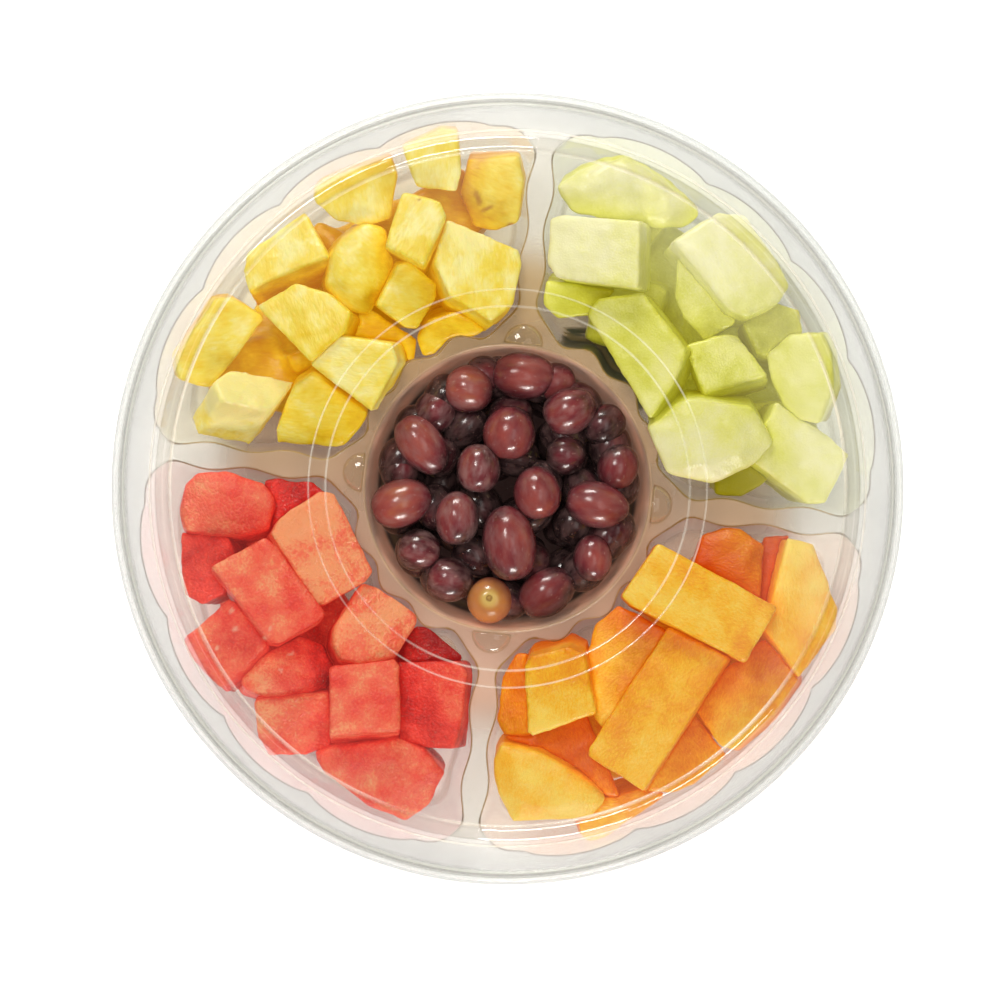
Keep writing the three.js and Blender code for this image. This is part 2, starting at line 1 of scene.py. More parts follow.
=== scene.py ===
import bmesh
import bpy
import math
import numpy as np
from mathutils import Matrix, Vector


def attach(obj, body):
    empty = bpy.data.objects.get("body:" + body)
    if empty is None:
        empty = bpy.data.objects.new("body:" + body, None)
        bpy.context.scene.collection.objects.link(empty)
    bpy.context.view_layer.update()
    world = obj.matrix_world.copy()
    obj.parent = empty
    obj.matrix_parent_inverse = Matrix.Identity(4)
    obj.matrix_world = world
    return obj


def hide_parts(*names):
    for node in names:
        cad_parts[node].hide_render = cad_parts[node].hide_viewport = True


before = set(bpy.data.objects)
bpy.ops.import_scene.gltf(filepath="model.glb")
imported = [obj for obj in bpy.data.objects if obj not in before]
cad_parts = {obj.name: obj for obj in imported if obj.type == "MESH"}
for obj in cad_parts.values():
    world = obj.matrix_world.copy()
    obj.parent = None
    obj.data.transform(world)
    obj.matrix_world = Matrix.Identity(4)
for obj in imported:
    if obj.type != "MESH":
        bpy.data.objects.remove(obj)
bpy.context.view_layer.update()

# ---------------------------------------------------------------------------
# The tray: one sheet of clear plastic, drawn down over a mould into four outer
# wells and a middle cup, with scalloped outer walls, wavy inner ones, a flat
# deck between them, four half-round lugs and a short skirt for the lid.

MM = 0.001
DECK = 44.0
DECK_EDGE = 147.6
FLOOR = 0.52
CUP_EDGE = 54.6
CUP_MOUTH = CUP_EDGE + 1
WELL_HEART = 104 * math.sqrt(0.5)
WELL_CORNER = 13
OUTER_WALL = 139
OUTER_LEAN = 11
LOBE = 3.5
SIDE_WALL = 4.4
SIDE_WAVE = 1.1
INNER_WALL = 60
INNER_WAVE = 1.8
LEAN = 4
ROLL = 0.8
FOOT = 4.5
RAYS = 256
BEYOND = 1e3


def outside_well(x, y, sunk, inset):
    """Distance outside one quarter well: its four walls' distances are joined round a corner circle,
    the outer wall standing out in lobes of 18 degrees and the other walls in shallow waves. `sunk`
    goes from 0 at the deck to 1 at the floor, as the walls lean in."""
    radius = np.hypot(x, y)
    angle = np.degrees(np.arctan2(y, x)) - 45
    lobe = np.where(np.abs(angle) < 36, np.abs(np.sin(np.radians(angle * 10))), 0) ** 0.6
    side = SIDE_WALL + SIDE_WAVE * np.cos(2 * np.pi * (115 - radius) / 30)
    inner = INNER_WALL + INNER_WAVE * np.cos(np.radians(angle * 18))
    outer = radius - OUTER_WALL - LOBE * lobe * (1 - 0.5 * sunk) + OUTER_LEAN * sunk
    walls = np.stack([outer, inner + LEAN * sunk - radius, side + LEAN * sunk - x, side + LEAN * sunk - y])
    return np.linalg.norm(np.maximum(walls + inset + WELL_CORNER, 0), axis=0) - WELL_CORNER


def well_rays():
    """Directions from a well's middle, even and the same on both sides of its middle line."""
    turn = math.pi / 4 + (np.arange(RAYS) + 0.5) * 2 * math.pi / RAYS
    return np.cos(turn), np.sin(turn)


def well_ring(z, sunk, inset):
    """One level of a well: on each ray, the place where the distance to the wall is nought, by halving."""
    ray_x, ray_y = well_rays()
    near = np.zeros(RAYS)
    far = np.full(RAYS, 90.0)
    for _ in range(36):
        reach = (near + far) / 2
        out = outside_well(WELL_HEART + reach * ray_x, WELL_HEART + reach * ray_y, sunk, inset) > 0
        far = np.where(out, reach, far)
        near = np.where(out, near, reach)
    return np.stack([WELL_HEART + near * ray_x, WELL_HEART + near * ray_y, np.full(RAYS, z)], axis=1)


def quarter_edge():
    """The edge of a well's quarter of the deck: on each ray, the nearest of the two axes, the deck's
    outer circle and the cup's circle, with the four corners put in exactly."""
    ray_x, ray_y = well_rays()
    to_y_axis = np.where(ray_x < 0, -WELL_HEART / ray_x, BEYOND)
    to_x_axis = np.where(ray_y < 0, -WELL_HEART / ray_y, BEYOND)
    along = WELL_HEART * (ray_x + ray_y)
    gap = 2 * WELL_HEART**2
    to_rim = -along + np.sqrt(along**2 - gap + DECK_EDGE**2)
    inside = along**2 - gap + CUP_MOUTH**2
    to_cup = np.where((inside > 0) & (along < 0), -along - np.sqrt(np.maximum(inside, 0)), BEYOND)
    reach = np.minimum(np.minimum(np.minimum(to_y_axis, to_x_axis), to_rim), to_cup)
    edge = np.stack([WELL_HEART + reach * ray_x, WELL_HEART + reach * ray_y, np.full(RAYS, DECK)], axis=1)
    for radius in (CUP_MOUTH, DECK_EDGE):
        for corner in ((radius, 0), (0, radius)):
            nearest = np.argmin(np.hypot(edge[:, 0] - corner[0], edge[:, 1] - corner[1]))
            edge[nearest, :2] = corner
    return edge


def strip_faces(rows, columns, closed=True):
    """Quads between the rows of a grid of points, the last column joined to the first."""
    last = columns if closed else columns - 1
    i = np.arange(rows - 1)[:, None] * columns
    j = np.arange(last)[None, :]
    k = (j + 1) % columns
    return np.stack([i + j, i + k, i + columns + k, i + columns + j], axis=-1).reshape(-1, 4)


def make_piece(name, points, faces, smooth=True):
    """A mesh object from an array of points in millimetres and an array or list of faces."""
    mesh = bpy.data.meshes.new(name)
    mesh.from_pydata((points * MM).tolist(), [], faces if isinstance(faces, list) else faces.tolist())
    mesh.polygons.foreach_set("use_smooth", np.full(len(mesh.polygons), smooth))
    piece = bpy.data.objects.new(name, mesh)
    bpy.context.scene.collection.objects.link(piece)
    return piece


def give_value(piece, name, values):
    """Keeps a number, or three as a direction or a colour, for each point of a piece; its material
    reads them by name."""
    values = np.asarray(values, np.float32)
    if values.ndim == 1:
        piece.data.attributes.new(name, "FLOAT", "POINT").data.foreach_set("value", values)
    elif name == "sheet_tint_and_painted_light":
        values = np.concatenate([values, np.ones((len(values), 1), np.float32)], axis=1)
        piece.data.attributes.new(name, "FLOAT_COLOR", "POINT").data.foreach_set("color", values.ravel())
    else:
        piece.data.attributes.new(name, "FLOAT_VECTOR", "POINT").data.foreach_set("vector", values.ravel())


def turned_quarter(points, quarter):
    """Points turned about Z by a number of quarter turns."""
    c, s = ((1, 0), (0, 1), (-1, 0), (0, -1))[quarter]
    x, y, z = points.T
    return np.stack([c * x - s * y, s * x + c * y, z], axis=1)


def tray_well():
    """A well's quarter of the sheet as rings on the same rays: the deck from its edge to the well's
    mouth, a rolled edge, the leaning wall, the rounded foot and the floor. Also how strongly each
    ring shows as a line."""
    mouth = well_ring(DECK, 0, -1.2)
    rings = [quarter_edge() * (1 - t) + mouth * t for t in (0, 0.04, 0.3, 0.6, 0.96, 1)]
    lines = [0.0] * 6
    for t in np.linspace(0, 1, 6) * math.pi / 2:
        rings.append(well_ring(DECK - ROLL * (1 - math.cos(t)), 0, -ROLL * (1 - math.sin(t))))
        lines.append(1.0 if 0.6 < t < 1.3 else 0.0)
    for t in (0.01, 0.15, 0.3, 0.45, 0.6, 0.75, 0.9, 0.99, 1):
        rings.append(well_ring(DECK - ROLL - t * (DECK - (ROLL + FOOT) - FLOOR), 0.9 * t, 0))
        lines.append(0.0)
    for t in np.linspace(0, 1, 6)[1:] * math.pi / 2:
        height = FLOOR + FOOT * (1 - math.sin(t))
        rings.append(well_ring(height, 0.9 + 0.1 * math.sin(t), 4 * (1 - math.cos(t))))
        lines.append(0.35 if 0.5 < t < 1.0 else 0.0)
    floor = rings[-1]
    middle = np.array([WELL_HEART, WELL_HEART, FLOOR])
    for t in (0.3, 0.6, 0.85, 0.999):
        rings.append(floor * (1 - t) + middle * t)
        lines.append(0.0)
    return np.array(rings), np.repeat(lines, RAYS)


def turned_rings(profile, angles):
    """Rings of points about Z, one for each [radius, height] of a profile, at the given angles."""
    profile = np.asarray(profile, float)
    radius = profile[:, :1]
    x = radius * np.cos(angles)
    y = radius * np.sin(angles)
    z = np.broadcast_to(profile[:, 1:], x.shape)
    return np.stack([x, y, z], axis=-1)


LUG_PLACE = CUP_EDGE + 1.4
LUG_RADIUS = 7.6
LUG_HEIGHT = 3
LUG_SIDES = 25


def tray_lug(turn):
    """A half-round bulge on the deck at the cup's edge: a flattened half dome, shut by an upright
    wall towards the cup."""
    around = np.radians(np.linspace(-90, 90, LUG_SIDES))[None, :]
    up = np.radians(np.array([0, 12, 25, 40, 55, 70, 80, 89.9]))[:, None]
    x = LUG_PLACE + LUG_RADIUS * np.cos(up) * np.cos(around)
    y = LUG_RADIUS * np.cos(up) * np.sin(around)
    z = DECK + LUG_HEIGHT * np.sin(up) + 0 * around
    dome = np.stack([x, y, z], axis=-1).reshape(-1, 3)
    level = np.array([1, 0.6, 0.2, 0])[:, None]
    wall_y = np.linspace(-1, 1, LUG_SIDES) + 0 * level
    wall_z = DECK + LUG_HEIGHT * np.sqrt(1 - wall_y**2) * level
    wall = np.stack([np.full_like(wall_y, LUG_PLACE), LUG_RADIUS * wall_y, wall_z], axis=-1).reshape(-1, 3)
    points = np.concatenate([dome, wall])
    faces = strip_faces(len(up), LUG_SIDES, False)
    faces = np.concatenate([faces, strip_faces(len(level), LUG_SIDES, False) + len(dome)])
    lines = np.repeat([0.7, 0, 0, 0, 0, 0, 0, 0, 0.5, 0, 0, 0.4], LUG_SIDES)
    c, s = math.cos(turn), math.sin(turn)
    px, py, pz = points.T
    return np.stack([c * px - s * py, s * px + c * py, pz], axis=1), faces, lines


# radius and height down the skirt and down the cup, from the deck's two edges
SKIRT = [[147.6, 44], [148.3, 43.9], [148.8, 43.5], [149, 43], [149.5, 40.5], [149.9, 38.8], [150, 38.4]]
CUP = [
    [55.6, 44], [55.0, 43.8], [54.7, 43.4], [54.6, 42.9], [53.4, 34], [52.1, 24], [50.8, 14],
    [49.9, 6.5], [49.3, 3.6], [48, 1.6], [46, FLOOR], [30, FLOOR], [12, FLOOR], [0.05, FLOOR],
]


def tray_sheet():
    """The whole sheet: four wells with their quarters of the deck, the cup and the skirt on the
    same points along the deck's edges, and four lugs. Also how strongly each point shows as part
    of a line."""
    rings, lines = tray_well()
    rows = len(rings)
    parts = []
    for quarter in range(4):
        parts.append((turned_quarter(rings.reshape(-1, 3), quarter), strip_faces(rows, RAYS), lines))
    edge = rings[0]
    reach = np.hypot(edge[:, 0], edge[:, 1])
    for radius, profile, marks in (
        (DECK_EDGE, SKIRT, [0, 0.4, 0.7, 0, 0, 0.5, 0.5]),
        (CUP_MOUTH, CUP, [0, 0.5, 0.8, 0, 0, 0, 0, 0, 0.2, 0.3, 0, 0, 0, 0]),
    ):
        on = edge[np.abs(reach - radius) < 0.01]
        angles = np.unique(np.round(np.arctan2(on[:, 1], on[:, 0]), 6))
        angles = np.concatenate([angles[:-1] + q * math.pi / 2 for q in range(4)])
        ring = turned_rings(profile, angles)
        faces = strip_faces(len(profile), len(angles))
        if radius < DECK_EDGE:
            faces = faces[:, ::-1]
        parts.append((ring.reshape(-1, 3), faces, np.repeat(marks, len(angles))))
    for quarter in range(4):
        parts.append(tray_lug(quarter * math.pi / 2))
    starts = np.cumsum([0] + [len(p[0]) for p in parts[:-1]])
    points = np.concatenate([p[0] for p in parts])
    faces = np.concatenate([p[1] + start for p, start in zip(parts, starts)])
    return points, faces, np.concatenate([p[2] for p in parts])


def close_up(piece, distance):
    """Joins the points of a piece that lie within a distance, and turns its faces to one side."""
    mesh = bmesh.new()
    mesh.from_mesh(piece.data)
    bmesh.ops.remove_doubles(mesh, verts=mesh.verts, dist=distance * MM)
    bmesh.ops.recalc_face_normals(mesh, faces=mesh.faces)
    mesh.to_mesh(piece.data)
    mesh.free()


def value_noise(points, size, seed):
    """Smooth noise from -1 to 1: a random number on each corner of a lattice of a given size,
    blended inside each cell by smoothed weights."""
    place = points / size + 100.0
    cell = np.floor(place).astype(np.int64)
    part = place - cell
    weight = part * part * (3 - 2 * part)
    total = np.zeros(len(points))
    for dx in (0, 1):
        for dy in (0, 1):
            for dz in (0, 1):
                i, j, k = (cell + (dx, dy, dz)).T
                mixed = (i * 73856093) ^ (j * 19349663) ^ (k * 83492791) ^ (seed * 2654435761)
                mixed = (mixed ^ (mixed >> 13)) * 1274126177 & 0x7FFFFFFF
                number = ((mixed ^ (mixed >> 16)) & 0xFFFF) / 32767.5 - 1
                share = np.where(dx, weight[:, 0], 1 - weight[:, 0])
                share = share * np.where(dy, weight[:, 1], 1 - weight[:, 1])
                share = share * np.where(dz, weight[:, 2], 1 - weight[:, 2])
                total += number * share
    return total


# side in x and in y, how milky the clear part of the well is, and its fruit's colour as a painted reflection
# in the sheet
WELL_FRUIT_REFLECTIONS = [
    (1, 1, 0.22, (0.44, 0.45, 0.32)),
    (-1, 1, 0.22, (0.52, 0.50, 0.28)),
    (-1, -1, 0.20, (0.62, 0.42, 0.37)),
    (1, -1, 0.20, (0.58, 0.45, 0.32)),
]


def tray_film(points, lines):
    """How milky each place of the sheet is, from 0 to 1, and its colour. Near the middle the deck carries
    painted shade, warm like the shaded table seen through it, and it clears outwards. Each well is tinged
    by its fruit's colour as a painted reflection in the sheet, the corner beside the honeydew holds a
    near-black painted shadow, the cup's wall is brown with painted shade and its floor near black with it,
    and the bends show as fine golden lines, partly the thicker sheet and partly a painted reflection of
    the fruit."""
    x, y, z = points.T
    radius = np.hypot(x, y)
    across = (x / np.maximum(radius, 1)) ** 2
    clear = np.clip((radius - 80 - 16 * across) / 22, 0, 1)
    clear = (clear * clear * (3 - 2 * clear))[:, None]
    north = np.clip(0.5 + y / 120, 0, 1)[:, None]
    near_cup = np.clip((74 - radius) / 12, 0, 1)[:, None]
    # painted shade: the warm shaded table seen through the deck, darker and redder towards the cup
    painted_deck_shade = (north * (0.37, 0.245, 0.09) + (1 - north) * (0.47, 0.285, 0.19)) * (1 - 0.2 * near_cup)
    painted_deck_shade = painted_deck_shade * (1 + 0.14 * value_noise(points, 11.0, 3)[:, None])
    painted_deck_shade = painted_deck_shade * (1 - near_cup * (0.0, 0.10, 0.16))
    edge = np.clip((radius - 134) / 8, 0, 1)[:, None]
    east = np.clip(10 * x / np.maximum(radius, 1) - 9, 0, 1)[:, None]
    pale = ((1 - edge) * (0.50, 0.47, 0.41) + edge * (0.15, 0.15, 0.15)) * (1 - 0.3 * east)
    milk = (0.58 * (1 - clear) + 0.34 * clear)[:, 0]
    colour = painted_deck_shade * (1 - clear) + pale * clear
    in_well = (z < DECK - 0.7) & (radius > 57) & (radius < 147)
    # painted reflection: the clear part of each well takes on its fruit's colour
    for side_x, side_y, well_milk, fruit_reflection in WELL_FRUIT_REFLECTIONS:
        here = in_well & (x * side_x > 0) & (y * side_y > 0)
        milk[here] = 0.44 + (well_milk - 0.44) * clear[here, 0]
        colour[here] = (painted_deck_shade * (1 - clear) + clear * fruit_reflection)[here]
    angle = np.degrees(np.arctan2(y, x))
    # painted shadow: the shaded gap behind the honeydew, drawn as a near-black patch on the well's inner
    # wall
    painted_corner_shadow = in_well & (radius < 68) & (angle > 37) & (angle < 76) & (z < DECK - 2)
    milk[painted_corner_shadow] = 0.85
    colour[painted_corner_shadow] = (0.04, 0.04, 0.02)
    in_cup = (z < DECK - 0.1) & (radius < 57)
    down = np.clip((DECK - 1 - z) / 14, 0, 1)
    # painted shade: the cup's wall brown like the shaded groove and grapes behind it, redder lower down
    painted_cup_wall_shade = (1 - down[:, None]) * (0.66, 0.43, 0.29) + down[:, None] * (0.80, 0.38, 0.22)
    milk[in_cup] = (0.60 + 0.1 * down)[in_cup]
    colour[in_cup] = (painted_cup_wall_shade * (1 + 0.4 * value_noise(points, 7.0, 4)[:, None]))[in_cup]
    # painted shade: the cup's floor near black under the grapes, tinted like them
    cup_floor = (z < 14) & (radius < 52)
    milk[cup_floor] = 0.9
    colour[cup_floor] = (0.08, 0.035, 0.03)
    milk[(z > DECK + 0.2) & (radius < 64)] = 0.06
    share = lines[:, None]
    # the bends' fine lines: partly the thicker sheet, and inside partly a painted reflection of the fruit's
    # golden colour
    golden = np.where(radius[:, None] > 125, (0.10, 0.06, 0.02), (0.26, 0.16, 0.04))
    colour = colour * (1 - share) + share * golden
    return np.maximum(milk, 0.95 * lines), colour


def film_material(name, tint):
    """Clear sheet: light goes straight through, the surface mirrors as plastic does, and where the
    sheet is milky or bent a share of it is a plain coloured surface, which also glows a little in its
    own colour: painted light that brightens the shaded parts of the sheet. For shadows the sheet only
    tints the light."""
    material = bpy.data.materials.new(name)
    material.use_nodes = True
    tree = material.node_tree
    tree.nodes.clear()
    clear = tree.nodes.new("ShaderNodeBsdfTransparent")
    clear.inputs["Color"].default_value = (*tint, 1)
    gloss = tree.nodes.new("ShaderNodeBsdfGlossy")
    gloss.inputs["Color"].default_value = (1, 1, 1, 1)
    gloss.inputs["Roughness"].default_value = 0.05
    mirror = tree.nodes.new("ShaderNodeFresnel")
    mirror.inputs["IOR"].default_value = 1.45
    mirrored = tree.nodes.new("ShaderNodeMath")
    mirrored.operation = "MINIMUM"
    mirrored.inputs[1].default_value = 0.2
    sheet = tree.nodes.new("ShaderNodeMixShader")
    tree.links.new(mirror.outputs["Fac"], mirrored.inputs[0])
    tree.links.new(mirrored.outputs["Value"], sheet.inputs["Fac"])
    tree.links.new(clear.outputs["BSDF"], sheet.inputs[1])
    tree.links.new(gloss.outputs["BSDF"], sheet.inputs[2])
    milky = tree.nodes.new("ShaderNodeBsdfPrincipled")
    milky.inputs["Roughness"].default_value = 0.4
    # painted light: the milky share glows a little in its own colour, which brightens the shaded parts of
    # the sheet
    milky.inputs["Emission Strength"].default_value = 0.12
    sheet_tint_and_painted_light = tree.nodes.new("ShaderNodeAttribute")
    sheet_tint_and_painted_light.attribute_name = "sheet_tint_and_painted_light"
    tree.links.new(sheet_tint_and_painted_light.outputs["Color"], milky.inputs["Base Color"])
    tree.links.new(sheet_tint_and_painted_light.outputs["Color"], milky.inputs["Emission Color"])
    milk = tree.nodes.new("ShaderNodeAttribute")
    milk.attribute_name = "milk"
    whole = tree.nodes.new("ShaderNodeMixShader")
    tree.links.new(milk.outputs["Fac"], whole.inputs["Fac"])
    tree.links.new(sheet.outputs["Shader"], whole.inputs[1])
    tree.links.new(milky.outputs["BSDF"], whole.inputs[2])
    ray = tree.nodes.new("ShaderNodeLightPath")
    through = tree.nodes.new("ShaderNodeBsdfTransparent")
    through.inputs["Color"].default_value = (*tint, 1)
    lit = tree.nodes.new("ShaderNodeMixShader")
    tree.links.new(ray.outputs["Is Shadow Ray"], lit.inputs["Fac"])
    tree.links.new(whole.outputs["Shader"], lit.inputs[1])
    tree.links.new(through.outputs["BSDF"], lit.inputs[2])
    out = tree.nodes.new("ShaderNodeOutputMaterial")
    tree.links.new(lit.outputs["Shader"], out.inputs["Surface"])
    return material


def thicken(piece, thickness):
    """Gives a sheet its thickness, away from the side its faces look to."""
    wall = piece.modifiers.new("sheet thickness", "SOLIDIFY")
    wall.thickness = thickness * MM
    wall.offset = -1


tray_points, tray_faces, tray_lines = tray_sheet()
tray = make_piece("clear_tray", tray_points, tray_faces)
tray_milk, tray_tint_and_painted_light = tray_film(tray_points, tray_lines)
give_value(tray, "milk", tray_milk)
give_value(tray, "sheet_tint_and_painted_light", tray_tint_and_painted_light)
close_up(tray, 0.02)
thicken(tray, 0.5)
tray.data.materials.append(film_material("clear tray sheet", (0.970, 0.970, 0.958)))
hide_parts("tray")
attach(tray, "root")

# ---------------------------------------------------------------------------
# The lid: a shallow clear dome of the same kind of sheet. A raised ring runs
# round its shoulder, a lower round panel lies in its middle, and its lip clips
# down over the tray's skirt.


def rounded(corners):
    """A profile with its corners rounded: each inner corner gives way to a curve that leaves its two
    sides at the distance of its third number, or at half their length, and bends as a parabola
    between them. Its fourth number goes to all points of the curve."""
    corners = np.asarray(corners, float)
    points = [corners[0]]
    for before, corner, after in zip(corners[:-2], corners[1:-1], corners[2:]):
        back, on = before[:2] - corner[:2], after[:2] - corner[:2]
        back *= min(corner[2], np.linalg.norm(back) / 2) / np.linalg.norm(back)
        on *= min(corner[2], np.linalg.norm(on) / 2) / np.linalg.norm(on)
        for t in np.linspace(0, 1, 5):
            points.append(np.append(corner[:2] + back * (1 - t) ** 2 + on * t**2, corner[3]))
    points.append(corners[-1][[0, 1, 3]])
    points[0] = points[0][[0, 1, 3]]
    return np.array(points)


# radius, height, how far its curve reaches, and how strongly the bend shows as a line
LID_PROFILE = [
    [152.5, 38.0, 0.3, 0.5], [152.5, 38.9, 0.3, 0.5], [151.0, 39.3, 0.3, 0.3], [150.1, 45.2, 0.4, 0.5],
    [147.6, 45.4, 0.4, 0.58], [136.6, 62.9, 0.35, 0.35], [133.7, 66.8, 1.7, 0], [130.3, 66.8, 1.7, 0],
    [128.4, 64.5, 0.3, 0.3], [75.8, 64.5, 0.3, 0.2], [69.4, 62.0, 0.3, 0.2], [0.03, 62.0, 0, 0],
]
LID_SIDES = 288
LID_STEP = 8
LINE_HALF = 0.2
TOP_EDGE = 129


def lid_sheet():
    """The lid's outer surface: its rounded profile turned about Z, with how strongly each ring shows
    as a line. Long straight runs are cut into steps, and a ring close to each end keeps the bend's
    line narrow."""
    profile = rounded(LID_PROFILE)
    filled = [profile[0]]
    for a, b in zip(profile[:-1], profile[1:]):
        length = np.hypot(*(b[:2] - a[:2]))
        if length > 1.2:
            shares = np.linspace(0, 1, int(length // LID_STEP) + 2)[1:-1]
            for t in np.concatenate([[LINE_HALF / length], shares, [1 - LINE_HALF / length]]):
                filled.append(np.append(a[:2] + (b[:2] - a[:2]) * t, 0))
        filled.append(b)
    profile = np.array(filled)
    angles = np.linspace(0, 2 * math.pi, LID_SIDES, endpoint=False)
    rings = turned_rings(profile[:, :2], angles)
    return rings.reshape(-1, 3), strip_faces(len(profile), LID_SIDES), np.repeat(profile[:, 2], LID_SIDES)


def lid_film(points, lines):
    """How milky the lid is, and its colour: clear in the middle, with a milky haze towards its
    shoulder, most over the north-east, grey on its slope and lip, and pale lines along its bends,
    which on its top are painted highlights, broken and faint in places on the inner ones."""
    x, y = points[:, 0], points[:, 1]
    radius = np.hypot(x, y)
    north_east = np.clip((x + y) / 1.414 / np.maximum(radius, 1), 0, 1) ** 2
    patchy = 1 + 0.5 * value_noise(points, 30.0, 22)
    milky_haze = np.clip((radius - 88) / 34, 0, 1) * (0.01 + 0.075 * north_east * patchy)
    on_top = radius < TOP_EDGE
    milk = np.interp(radius, [128, 138, 146, 149, 152], [0.0, 0.07, 0.10, 0.26, 0.34]) + milky_haze * on_top
    # painted highlights: the pale lines on the lid's top, broken and faded by noise
    broken = np.clip(0.65 + 0.85 * value_noise(points, 26.0, 21), 0.12, 1.1)
    lines = np.where(on_top, lines * broken, lines)
    share = np.clip(lines * 2.5, 0, 1)[:, None]
    slope = np.clip((radius - 128) / 8, 0, 1)[:, None]
    colour = (1 - slope) * (0.84, 0.84, 0.76) + slope * (0.46, 0.48, 0.45)
    lip = np.clip((radius - 148.5) / 2, 0, 1)[:, None]
    bend = (1 - lip) * (0.54, 0.54, 0.49) + lip * (0.47, 0.49, 0.48)
    colour = (1 - share) * colour + share * np.where(radius[:, None] > 140, bend, (0.86, 0.77, 0.62))
    return np.maximum(milk, lines), colour


lid_points, lid_faces, lid_lines = lid_sheet()
lid = make_piece("clear_lid", lid_points, lid_faces)
lid_milk, lid_tint_and_painted_light = lid_film(lid_points, lid_lines)
give_value(lid, "milk", lid_milk)
give_value(lid, "sheet_tint_and_painted_light", lid_tint_and_painted_light)
close_up(lid, 0.1)
thicken(lid, 0.45)
lid.data.materials.append(film_material("clear lid sheet", (0.988, 0.988, 0.984)))
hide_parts("lid")
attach(lid, "root")

# ---------------------------------------------------------------------------
# Pineapple: chunks cut by hand from the cored fruit. The flesh is made of
# fibres that run out from the core, pale near it and deep yellow outside.


def cut_surface(node, grain, soften):
    """A chunk's own surface: a copy of its solid with its doubles merged, made an even net of quads
    of `grain` mm and softened at its edges. Returns points, quads and outward directions."""
    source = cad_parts[node]
    work = bpy.data.meshes.new("cut")
    solid = bmesh.new()
    solid.from_mesh(source.data)
    bmesh.ops.remove_doubles(solid, verts=solid.verts, dist=0.00001)
    bmesh.ops.recalc_face_normals(solid, faces=solid.faces)
    solid.to_mesh(work)
    solid.free()
    piece = bpy.data.objects.new("cut", work)
    bpy.context.scene.collection.objects.link(piece)
    net = piece.modifiers.new("even net", "REMESH")
    net.mode = "VOXEL"
    net.voxel_size = grain * MM
    ease = piece.modifiers.new("soft edges", "SMOOTH")
    ease.iterations = soften
    ease.factor = 0.5
    shown = piece.evaluated_get(bpy.context.evaluated_depsgraph_get())
    mesh = shown.to_mesh()
    points = np.empty(len(mesh.vertices) * 3, np.float32)
    mesh.vertices.foreach_get("co", points)
    normals = np.empty(len(mesh.vertices) * 3, np.float32)
    mesh.vertices.foreach_get("normal", normals)
    quads = np.empty(len(mesh.loops), np.int32)
    mesh.loops.foreach_get("vertex_index", quads)
    assert len(quads) == 4 * len(mesh.polygons)
    shown.to_mesh_clear()
    bpy.data.objects.remove(piece)
    bpy.data.meshes.remove(work)
    points = points.reshape(-1, 3).astype(float) / MM
    return points, quads.reshape(-1, 4), normals.reshape(-1, 3).astype(float)


KNIFE_PROUD = 0.25
BED_NET = 2.2
BED_LOW = 0.6


def knife_relief(points, seed, lump):
    """Hand-cut faces: slow swells of 9 mm and small dents of 3 mm, and rounder lumps where the flesh
    broke instead of being cut."""
    swell = 0.34 * value_noise(points, 9.0, seed) + 0.2 * value_noise(points, 3.0, seed + 50)
    return swell + lump * value_noise(points, 5.5, seed + 90) + KNIFE_PROUD


def heap_depth(points):
    """How far each point lies under the heap's own skin, in mm: the highest points on a 2 mm grid,
    spread over the gaps and averaged over about half a chunk, less the point's own height. The grid
    reaches 160 mm each way from the middle, which with cells of 2 mm makes 160 cells."""
    cells = 160
    column, row = ((points[:, :2] + cells) / 2).astype(int).T
    skin = np.zeros((cells, cells))
    np.maximum.at(skin, (column, row), points[:, 2])
    known = (skin > 0).astype(float)
    reach = np.arange(-12, 13)
    spread = np.exp(-((reach * 2 / 9.0) ** 2) / 2)
    total, weight = skin, known
    for axis in (0, 1):
        total = np.apply_along_axis(np.convolve, axis, total, spread, "same")
        weight = np.apply_along_axis(np.convolve, axis, weight, spread, "same")
    return (total / np.maximum(weight, 1e-6))[column, row] - points[:, 2]


